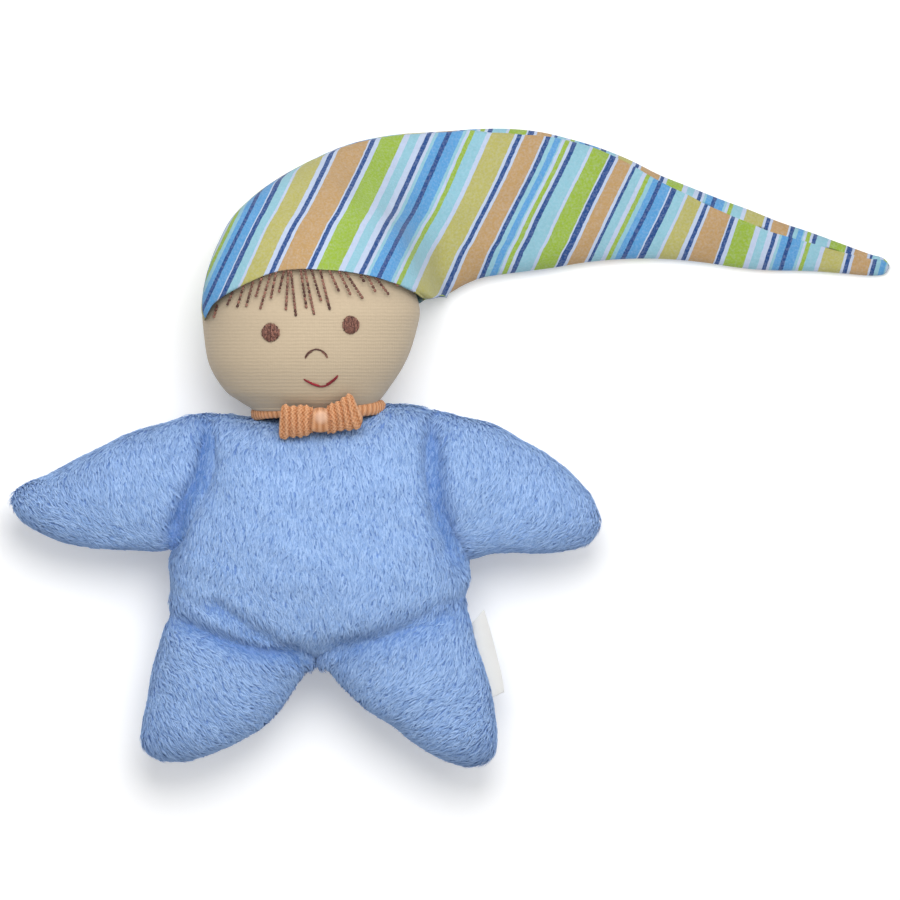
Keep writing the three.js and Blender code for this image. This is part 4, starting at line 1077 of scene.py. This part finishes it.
def make_cap():
    """The striped cap: a crown on the head, and a tail that bends in two places."""
    points, share = cap_surface()
    out = grid_normals(points)
    inside = np.minimum(1, 8 * share * (1 - share))
    points = points + out * (0.25 * ripple(points, 13, 73) * inside)[..., None]
    inner = points - CLOTH * out
    places = stripe_place(points)
    tip_ring = int(np.argmax(points[:, :, 0].mean(1) > TIP_START))
    tuck = len(TUCK)
    slices = {"cap_crown": (0, CROWN_RINGS + tuck),
              "cap_tail_upper": (CROWN_RINGS - 1 - tuck, tip_ring + 1 + tuck),
              "cap_tail_tip": (tip_ring - tuck, len(points))}
    for node, (start, end) in slices.items():
        part = slice(start, end)
        skin = points[part].copy()
        if start:
            skin[:tuck] -= np.array(TUCK)[:, None, None] * out[start:start + tuck]
        if end < len(points):
            skin[-tuck:] -= np.array(TUCK[::-1])[:, None, None] * out[end - tuck:end]
        piece = tube_piece(f"striped_{node}", skin, inner[part], [place[part] for place in places],
                           FINISHES["striped_cotton"])
        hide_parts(node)
        if node in CAP_FOLDS:
            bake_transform(piece)
        else:
            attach(piece, "head")


# Face

# Each eye's middle, and its width and height, in pixels
EYES = {"right_eye": ((272, 333), (17.5, 19.5)), "left_eye": ((351, 325.5), (16, 19.5))}
NOSE = [(305.5, 358), (308.5, 353.5), (313, 350.6), (317.6, 349.7), (322.5, 351.2), (326, 354), (328.5, 358)]
MOUTH = [(304, 379), (308, 381.4), (314, 384.4), (320.7, 386.2), (327, 385.2), (333, 381.4), (339, 376.3)]
# The fringe's lines of stitches: X and Y of the upper end and of the lower end, in pixels
FRINGE = [
    (219, 305, 215, 318.5), (234.5, 292, 228.5, 306), (246, 284, 238.5, 308), (255.5, 278.5, 247.5, 307.5),
    (264, 275.5, 257, 298), (272, 274, 261.5, 310), (277.5, 272, 272, 299.5), (285.5, 270.5, 280, 293.5),
    (289.5, 270.5, 287, 311), (292, 272, 297, 317), (301.5, 270, 307.5, 309), (305.5, 270, 315, 315.5),
    (312, 270, 322, 302), (320.5, 270, 330.5, 310.5), (329.5, 270.5, 339.5, 292.5), (339, 272, 351, 296),
    (345.5, 273, 363, 299.5), (360, 276, 364.5, 283.5), (367, 276, 375.5, 293), (375.5, 278.5, 388.5, 295.5),
    (392.5, 282.5, 398, 287)]
# Each sewn line: its piece and slot, a stitch's step, the share of the step that it covers, its radius and
# height, and its points. A step longer than the line makes it one long thread.
SEWING = {"nose_stitch": ("sewn_nose", "brown_thread", 30, 1.0, 0.27, 0.36, 30),
          "mouth_stitch": ("sewn_mouth", "red_thread", 30, 1.0, 0.3, 0.4, 30),
          "fringe_stitches": ("sewn_fringe", "brown_thread", 1.08, 0.76, 0.43, 0.42, 7)}
# How finely a line is cut before its stitches are laid: points for each stitch
STITCH_CUTS = 40
# An eye's upright strands, the loose ones that are thrown over them, the points of each, and their radii
SATIN_STRANDS = 15
LOOSE_STRANDS = 46
STRAND_POINTS = 12
SATIN_RADIUS = 0.25
LOOSE_RADIUS = 0.17


def head_front(x, y):
    """Points of the head's front over X and Y."""
    return np.stack([x, y, HEAD_ORIGIN[2] + head_height(x, y, 0.0)], -1)


def on_head(flat, lift):
    """Points of the head's front over points in X and Y, lifted along its normal, and those normals."""
    x, y = flat[..., 0], flat[..., 1]
    step = 0.3
    along = head_front(x + step, y) - head_front(x - step, y)
    normals = unit(np.cross(along, head_front(x, y + step) - head_front(x, y - step)))
    return head_front(x, y) + normals * lift, normals


def strands(name, paths, normals, radii, material, sides=6):
    """Threads: round tubes along many paths at once, (thread, step, 3), with radii that close both ends."""
    tangent = unit(np.gradient(paths, axis=1))
    across = unit(np.cross(tangent, normals))
    over = np.cross(across, tangent)
    turn = np.linspace(0, 2 * math.pi, sides, endpoint=False)
    rings = paths[:, :, None] + radii[..., None, None] * (
        np.cos(turn)[:, None] * across[:, :, None] + np.sin(turn)[:, None] * over[:, :, None])
    first, faces = closed_skin(rings[0])
    shift = np.arange(len(rings))[:, None, None] * len(first)
    faces = [(part + shift).reshape(-1, part.shape[1]) for part in faces]
    chance = np.repeat(np.random.default_rng(len(rings)).random(len(rings)), len(first))
    points = np.concatenate([pole_to_pole(ring) for ring in rings])
    return mesh_piece(name, points, faces, material, numbers={"chance": chance})


def closed_ends(threads, steps, radius):
    """Radii along each thread: full, and round at both ends."""
    place = np.linspace(-1, 1, steps)
    return np.tile(radius * np.sqrt(np.maximum(0, 1 - np.abs(place) ** 8)), (threads, 1))


def make_eye(name, middle, across):
    """A satin eye: upright strands laid side by side across an oval, with short strands over them."""
    chance = np.random.default_rng(len(name))
    half = np.array(across) * PIXEL / 2
    places = np.linspace(-0.93, 0.93, SATIN_STRANDS)
    reach = np.sqrt(1 - places**2) * half[1] * chance.uniform(0.96, 1.07, SATIN_STRANDS)
    run = np.linspace(-1, 1, STRAND_POINTS)
    sway = 0.05 * chance.normal(size=(SATIN_STRANDS, STRAND_POINTS))
    upright = np.stack([places[:, None] * half[0] + sway, run * reach[:, None]], -1)
    loose = chance.uniform(-0.75, 0.75, (LOOSE_STRANDS, 2))
    loose = loose[(loose**2).sum(1) < 0.62]
    lean = chance.normal(0, 0.5, len(loose))[:, None]
    short = np.linspace(-0.55, 0.55, STRAND_POINTS)
    over = loose[:, None] * half + np.stack([short * np.sin(lean), short * np.cos(lean)], -1)
    hump = np.concatenate([np.tile(0.1 + 0.42 * np.sqrt(1 - run**2 * 0.96), (SATIN_STRANDS, 1)),
                           np.tile(0.38 + 0.34 * np.sqrt(1 - (short / 0.56) ** 2), (len(over), 1))])
    paths, normals = on_head(np.concatenate([upright, over]) + in_pixels(middle), hump[..., None])
    radii = np.concatenate([closed_ends(SATIN_STRANDS, STRAND_POINTS, SATIN_RADIUS),
                            closed_ends(len(over), STRAND_POINTS, LOOSE_RADIUS)])
    eye = strands(f"sewn_{name}", paths, normals, radii, FINISHES["brown_thread"])
    dress(eye, "head", name)


def running_stitches(name, lines, material, step, fill, radius, lift, places):
    """Lines of small stitches: each line is cut in equal steps, and a stitch arches over part of each."""
    flats = []
    for line in lines:
        length = np.linalg.norm(np.diff(line, axis=0), axis=1).sum()
        count = max(1, round(length / step))
        fine = length_along(line, STITCH_CUTS * count + 1)
        for stitch in range(count):
            start = stitch * STITCH_CUTS + int(STITCH_CUTS / 2 * (1 - fill))
            flats.append(fine[np.linspace(start, start + STITCH_CUTS * fill, places).astype(int)])
    flat = np.array(flats)
    arch = lift * (1 - np.linspace(-0.98, 0.98, places) ** 6) ** 0.5 - 0.12
    paths, normals = on_head(flat, arch[None, :, None])
    return strands(name, paths, normals, closed_ends(len(flat), places, radius), material, 5)


def make_face():
    """The sewn face: two satin eyes, a nose and a mouth of thread, and the fringe of running stitches."""
    for name, (middle, across) in EYES.items():
        make_eye(name, middle, across)
    nose, mouth = in_pixels(NOSE), in_pixels(MOUTH)
    lines = {"nose_stitch": [nose, nose[:3] + [0.12, -0.2], nose[-3:] + [-0.1, -0.15]],
             "mouth_stitch": [mouth, mouth[-3:] + [-0.1, 0.26], mouth[1:4] + [-0.1, 0.2]],
             "fringe_stitches": [in_pixels([line[:2], line[2:]]) for line in FRINGE]}
    for node, (name, slot, *measures) in SEWING.items():
        dress(running_stitches(name, lines[node], FINISHES[slot], *measures), "head", node)


# Neck band and bow

# The band's half width and half depth, its height, thickness and tilt, and its number of ribs
BAND_HALF = (18.9, 13.3)
BAND_HEIGHT = 4.3
BAND_THICKNESS = 2.5
BAND_TILT = 0.035
BAND_RIBS = 66
# The bow's middle, and how far it leans back, in degrees
BOW_MIDDLE = (0.15, 36.0, 41.6)
BOW_LEAN = 27
# Each wing's direction in X, its reach, its rise, its heights at five places on the way out, and its slant
WINGS = {"bow_right_wing": (-1, 10.3, -0.7, [8.6, 9.4, 10.6, 11.2, 9.6], 0.05),
         "bow_left_wing": (1, 9.7, 3.6, [8.6, 9.4, 10.4, 11.0, 8.2], -0.3)}
WING_PLACES = [0, 0.2, 0.55, 0.9, 1]
WING_THICKNESS = [(0, 0.9), (0.12, 1.5), (0.5, 1.75), (0.85, 1.5), (1, 1.1)]
WING_RIBS = 5
# Half the knot's width, height and depth, and the pixel where its painted highlight is palest
KNOT_HALF = (3.3, 3.8, 2.1)
HIGHLIGHT_PIXEL = (321.8, 417)


def knit_grain(around, along):
    """Small knitted loops: a product of two sine waves."""
    return np.sin(around) * np.sin(along)


def knitted(node, points, faces, proud, highlight_spot=0.0):
    """A piece of orange knit at the neck. It stands proud from 0 to 1, which paints light on its ribs and
    shade in its grooves, and has a painted highlight from 0 to 1.
    """
    piece = mesh_piece(f"knitted_{node}", points, faces, FINISHES["orange_knit"],
                       numbers={"proud": np.clip(proud, 0, 1), "highlight_spot": np.zeros(len(points)) + highlight_spot})
    dress(piece, "neck", node)


def make_band():
    """The neck band: a ring of ribbed knit. Its section is a flat oval, pushed out by each rib."""
    turn = np.linspace(0, 2 * math.pi, BAND_RIBS * 8, endpoint=False)[:, None]
    side = np.linspace(0, 2 * math.pi, 26, endpoint=False)
    across, deep = BAND_HALF[0] * np.cos(turn), BAND_HALF[1] * np.sin(turn)
    out = unit(np.stack([np.cos(turn) / BAND_HALF[0], 0 * turn, np.sin(turn) / BAND_HALF[1]], -1))
    rise = 0.3 * np.sin(3 * turn + 1) + BAND_TILT * across
    middle = np.array(NECK) + np.stack([across, rise, deep], -1)
    rib = np.cos(turn * BAND_RIBS + 1.3 * np.sin(5 * turn) + 0.9 * np.sin(11 * turn + 2))
    rib = rib * (0.8 + 0.2 * np.sin(7 * turn))
    grain = knit_grain(turn * BAND_RIBS * 2, side * 9)
    swell = 1 + 0.12 * rib + 0.09 * grain + 0.06 * np.sin(9 * turn + 1)
    points = (middle + BAND_THICKNESS / 2 * (np.cos(side) * swell)[..., None] * out
              + (BAND_HEIGHT / 2 * np.sin(side) * (1 + 0.05 * rib))[..., None] * np.array([0, 1, 0]))
    rings, sides = points.shape[:2]
    points = points.reshape(-1, 3)
    faces = outward(points, [grid_quads(rings + 1, sides) % len(points)])
    # How proud each point stands, for the painted light on the ribs and painted shade in the grooves
    knitted("neck_band", points, faces, 0.5 + 0.45 * rib + 0.25 * grain)


def on_bow(across, up, out):
    """A point of the bow's leaning plane."""
    lean = math.radians(BOW_LEAN)
    return np.stack([BOW_MIDDLE[0] + across, BOW_MIDDLE[1] + up * math.cos(lean) - out * math.sin(lean),
                     BOW_MIDDLE[2] + up * math.sin(lean) + out * math.cos(lean)], -1)


def make_wing(node, direction, reach, rise, heights, slant):
    """A wing of the bow: a flat ribbed loop that fans out from the knot and closes in a round fold."""
    along = np.linspace(0, 1, 130)[:, None]
    side = np.linspace(0, 2 * math.pi, 150, endpoint=False)
    tall = np.interp(along, WING_PLACES, heights)
    thick = np.interp(along, *np.array(WING_THICKNESS).T)
    at_start, at_end = np.clip((0.04 - along) / 0.04, 0, 1), np.clip((along - 0.93) / 0.07, 0, 1)
    closing = np.sqrt(1 - at_start**2) * np.sqrt(1 - at_end**2)
    drift = 0.5 * np.sin(side * 2 + 5 * along) + 0.35 * np.cos(side) * direction
    rib = np.cos(along * 2 * math.pi * WING_RIBS + drift)
    loose = 1.1 * np.sin(3 * side + 4 * along + direction) + 0.8 * np.sin(7 * side - 9 * along)
    grain = knit_grain(along * 58 + 1.8 * np.abs(np.sin(side * 10)) + loose, side * 20 + 0.7 * loose)
    swell = 1 + 0.2 * rib * np.minimum(1, 3 * along) + 0.13 * grain
    edge = 1 + 0.05 * rib + 0.06 * np.sin(9 * along + direction) + 0.03 * grain
    across = direction * (1.9 + along * reach) + slant * np.cos(side) * tall / 2 * along
    up = rise * along + tall / 2 * np.cos(side) * edge * (0.35 + 0.65 * closing)
    out = thick * np.sin(side) * swell * closing + 0.3 * np.sin(along * 3)
    points = on_bow(across, up, out)
    points[0] = points[0].mean(0)
    points[-1] = points[-1].mean(0)
    # How proud each point stands, for the painted light on the ribs and painted shade in the grooves
    knitted(node, *closed_skin(points), pole_to_pole(0.5 + 0.25 * rib + 0.45 * grain))


def make_knot():
    """The knot: a ribbed pad wrapped over the middle of the bow, with a painted highlight where it stands out
    most.
    """
    polar = np.linspace(0, math.pi, 80)[:, None]
    turn = np.linspace(0, 2 * math.pi, 80, endpoint=False)
    x, y, z = np.cos(turn) * np.sin(polar), np.cos(polar) + 0 * turn, np.sin(turn) * np.sin(polar)
    x, y, z = (np.sign(way) * np.abs(way) ** power for way, power in ((x, 0.8), (y, 0.8), (z, 0.55)))
    rib = np.cos(x * 11)
    grain = knit_grain(y * 30, x * 24)
    centre = np.exp(-(x / 0.5) ** 2 - (y / 0.5) ** 2)
    swell = 1 + (0.07 * rib * (1 - centre) + 0.07 * grain) * np.sin(polar)
    wide, tall, deep = KNOT_HALF
    points = on_bow(wide * x * (1 - 0.1 * y) * swell, tall * y + 0.4, 0.8 + deep * z * swell)
    # The painted highlight: a pale spot on the front, raised a little
    far = np.linalg.norm(points[..., :2] - in_pixels(HIGHLIGHT_PIXEL), axis=-1)
    highlight_spot = (1 - smooth_step(0.8, 2.8, far)) * (z > 0) * 0.75
    points[..., 2] += 0.3 * highlight_spot
    # How proud the knit stands, for its painted light and shade
    proud = 0.5 + 0.3 * rib + 0.25 * grain
    knitted("bow_knot", *closed_skin(points), pole_to_pole(proud), pole_to_pole(highlight_spot))


# Label

# The label's seam and its fold, in pixels, and its ribbon's thickness, in millimetres
LABEL_SEAM = [(474, 621), (478, 640), (485, 662), (491, 684), (494, 697)]
LABEL_EDGE = [(484, 609), (491, 632), (497, 655), (502, 676), (504.5, 692)]
RIBBON_THICKNESS = 0.17
# How far the label runs into the seam
LABEL_TUCK = 1.2


def make_label():
    """The side label: a bare ribbon folded double and sewn in at the seam, its upper corner turned up.
    Each ring runs over both layers outside, from the seam round the fold and back, then back inside."""
    steps, sides = 60, 44
    seam = in_pixels(length_along(LABEL_SEAM, steps))
    edge = in_pixels(length_along(LABEL_EDGE, steps))
    turn = np.linspace(0.35, 2 * math.pi - 0.35, sides)
    share = (1 - np.cos(turn)) / 2
    along = np.linspace(0, 1, steps)[:, None]
    inner = seam - LABEL_TUCK * unit(edge - seam)
    droop = SEAM_HEIGHT - 0.75 * along - 1.6 * share**2 + 1.9 * share * (1 - along) ** 3
    gap = 0.3 + 0.25 * np.sin(math.pi * share) * (1 - along)
    wave = 0.2 * np.sin(along * 9) * share
    layer = np.sign(np.sin(turn)) * np.abs(np.sin(turn)) ** 0.3
    skins = []
    for sunk in (0, RIBBON_THICKNESS):
        flat = inner[:, None] + (edge - inner)[:, None] * (share * (1 - sunk / 5))[None, :, None]
        skins.append(np.concatenate([flat, (droop + wave + (gap - sunk) * layer)[..., None]], -1))
    points = np.concatenate([skins[0], skins[1][:, ::-1]], 1).reshape(-1, 3)
    side = np.arange(sides - 1)
    rim = np.stack([side, side + 1, 2 * sides - 2 - side, 2 * sides - 1 - side], -1)
    far_rim = rim[:, ::-1] + (steps - 1) * 2 * sides
    faces = outward(points, [np.concatenate([grid_quads(steps, 2 * sides), rim, far_rim])])
    label = mesh_piece("ribbon_side_label", points, faces, FINISHES["white_ribbon"])
    dress(label, "label", "side_label")


# Inner pieces

def finish_inner_pieces():
    """The pieces that keep their own shape: the rattle, its pellets, the neck's filling and the threads."""
    finishes = {"rattle_front_half": "rattle_plastic", "rattle_back_half": "rattle_plastic",
                "neck_filling": "neck_filling", "neck_tie": "pale_thread", "closing_stitches": "pale_thread"}
    finishes |= {f"rattle_pellet_{number}": "pellet_plastic" for number in range(1, 5)}
    for node, finish in finishes.items():
        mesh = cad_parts[node].data
        mesh.materials.clear()
        mesh.materials.append(FINISHES[finish])


# Stage

# The studio's light from all round, and each lamp's place in metres, its size and its watts
WORLD_LIGHT = 0.5
LAMPS = {"key light": ((0.015, 0.2, 0.45), 0.32, 1.54), "fill light": ((0.45, 0.35, 1.0), 0.9, 2.0)}
# Half the floor's width and its height, in millimetres, and how much paler the camera sees it
FLOOR_HALF = 1500
FLOOR_LEVEL = -0.2
FLOOR_GLOW = 0.2
# The camera's height and the width of its sensor, in metres and millimetres
CAMERA_HEIGHT = 6.0
SENSOR_WIDTH = 36


def floor_to_camera(nodes, place):
    """To the camera alone the floor is paler, so that it shows white and keeps the shadow."""
    seen = nodes.add("ShaderNodeLightPath").outputs["Is Camera Ray"]
    return {"Emission Strength": nodes.maths("MULTIPLY", seen, FLOOR_GLOW)}


def make_floor():
    """A pale square that lies just under the doll."""
    corners = [(x * FLOOR_HALF, y * FLOOR_HALF, FLOOR_LEVEL) for x, y in ((-1, -1), (1, -1), (1, 1), (-1, 1))]
    finish = finish_named("pale floor", (0.93, 0.93, 0.93, 1), 0.9, floor_to_camera,
                          **{"Emission Color": (1, 1, 1, 1)})
    mesh_piece("floor", np.array(corners), [np.array([(0, 1, 2, 3)])], finish)


def make_light(scene):
    """White light from all round, which shows full white behind the doll, and the lamps, which face it."""
    world = bpy.data.worlds.new("studio")
    scene.world = world
    world.use_nodes = True
    world.node_tree.nodes.clear()
    nodes = Nodes(world.node_tree)
    path = nodes.add("ShaderNodeLightPath").outputs
    seen = nodes.maths("MAXIMUM", path["Is Camera Ray"],
                       nodes.maths("MAXIMUM", path["Is Glossy Ray"], path["Is Transmission Ray"]))
    strength = nodes.maths("MULTIPLY_ADD", seen, 1.0 - WORLD_LIGHT, WORLD_LIGHT)
    light = nodes.add("ShaderNodeBackground", {"Color": (1, 1, 1, 1), "Strength": strength})
    nodes.add("ShaderNodeOutputWorld", {"Surface": light.outputs[0]})
    for name, (place, size, power) in LAMPS.items():
        data = bpy.data.lights.new(name, "AREA")
        data.energy, data.size, data.shape = power, size, "DISK"
        lamp = bpy.data.objects.new(name, data)
        scene.collection.objects.link(lamp)
        lamp.location = place
        lamp.rotation_euler = (-Vector(place)).to_track_quat("-Z", "Y").to_euler()


def make_camera(scene):
    """The camera straight above the picture's middle, so high that it sees the photograph's square."""
    data = bpy.data.cameras.new("camera")
    camera = bpy.data.objects.new("camera", data)
    scene.collection.objects.link(camera)
    middle = in_pixels((PICTURE / 2, PICTURE / 2)) * MM
    camera.location = (middle[0], middle[1], CAMERA_HEIGHT)
    data.sensor_width = SENSOR_WIDTH
    data.lens = data.sensor_width * (CAMERA_HEIGHT - SEAM_HEIGHT * MM) / (PICTURE * PIXEL * MM)
    data.clip_start, data.clip_end = 0.05, 10
    scene.camera = camera


bpy.context.scene.view_settings.view_transform = "Standard"
make_light(bpy.context.scene)
make_floor()
make_camera(bpy.context.scene)
make_body()
make_head()
make_cap()
make_face()
make_band()
for wing, measures in WINGS.items():
    make_wing(wing, *measures)
make_knot()
make_label()
finish_inner_pieces()
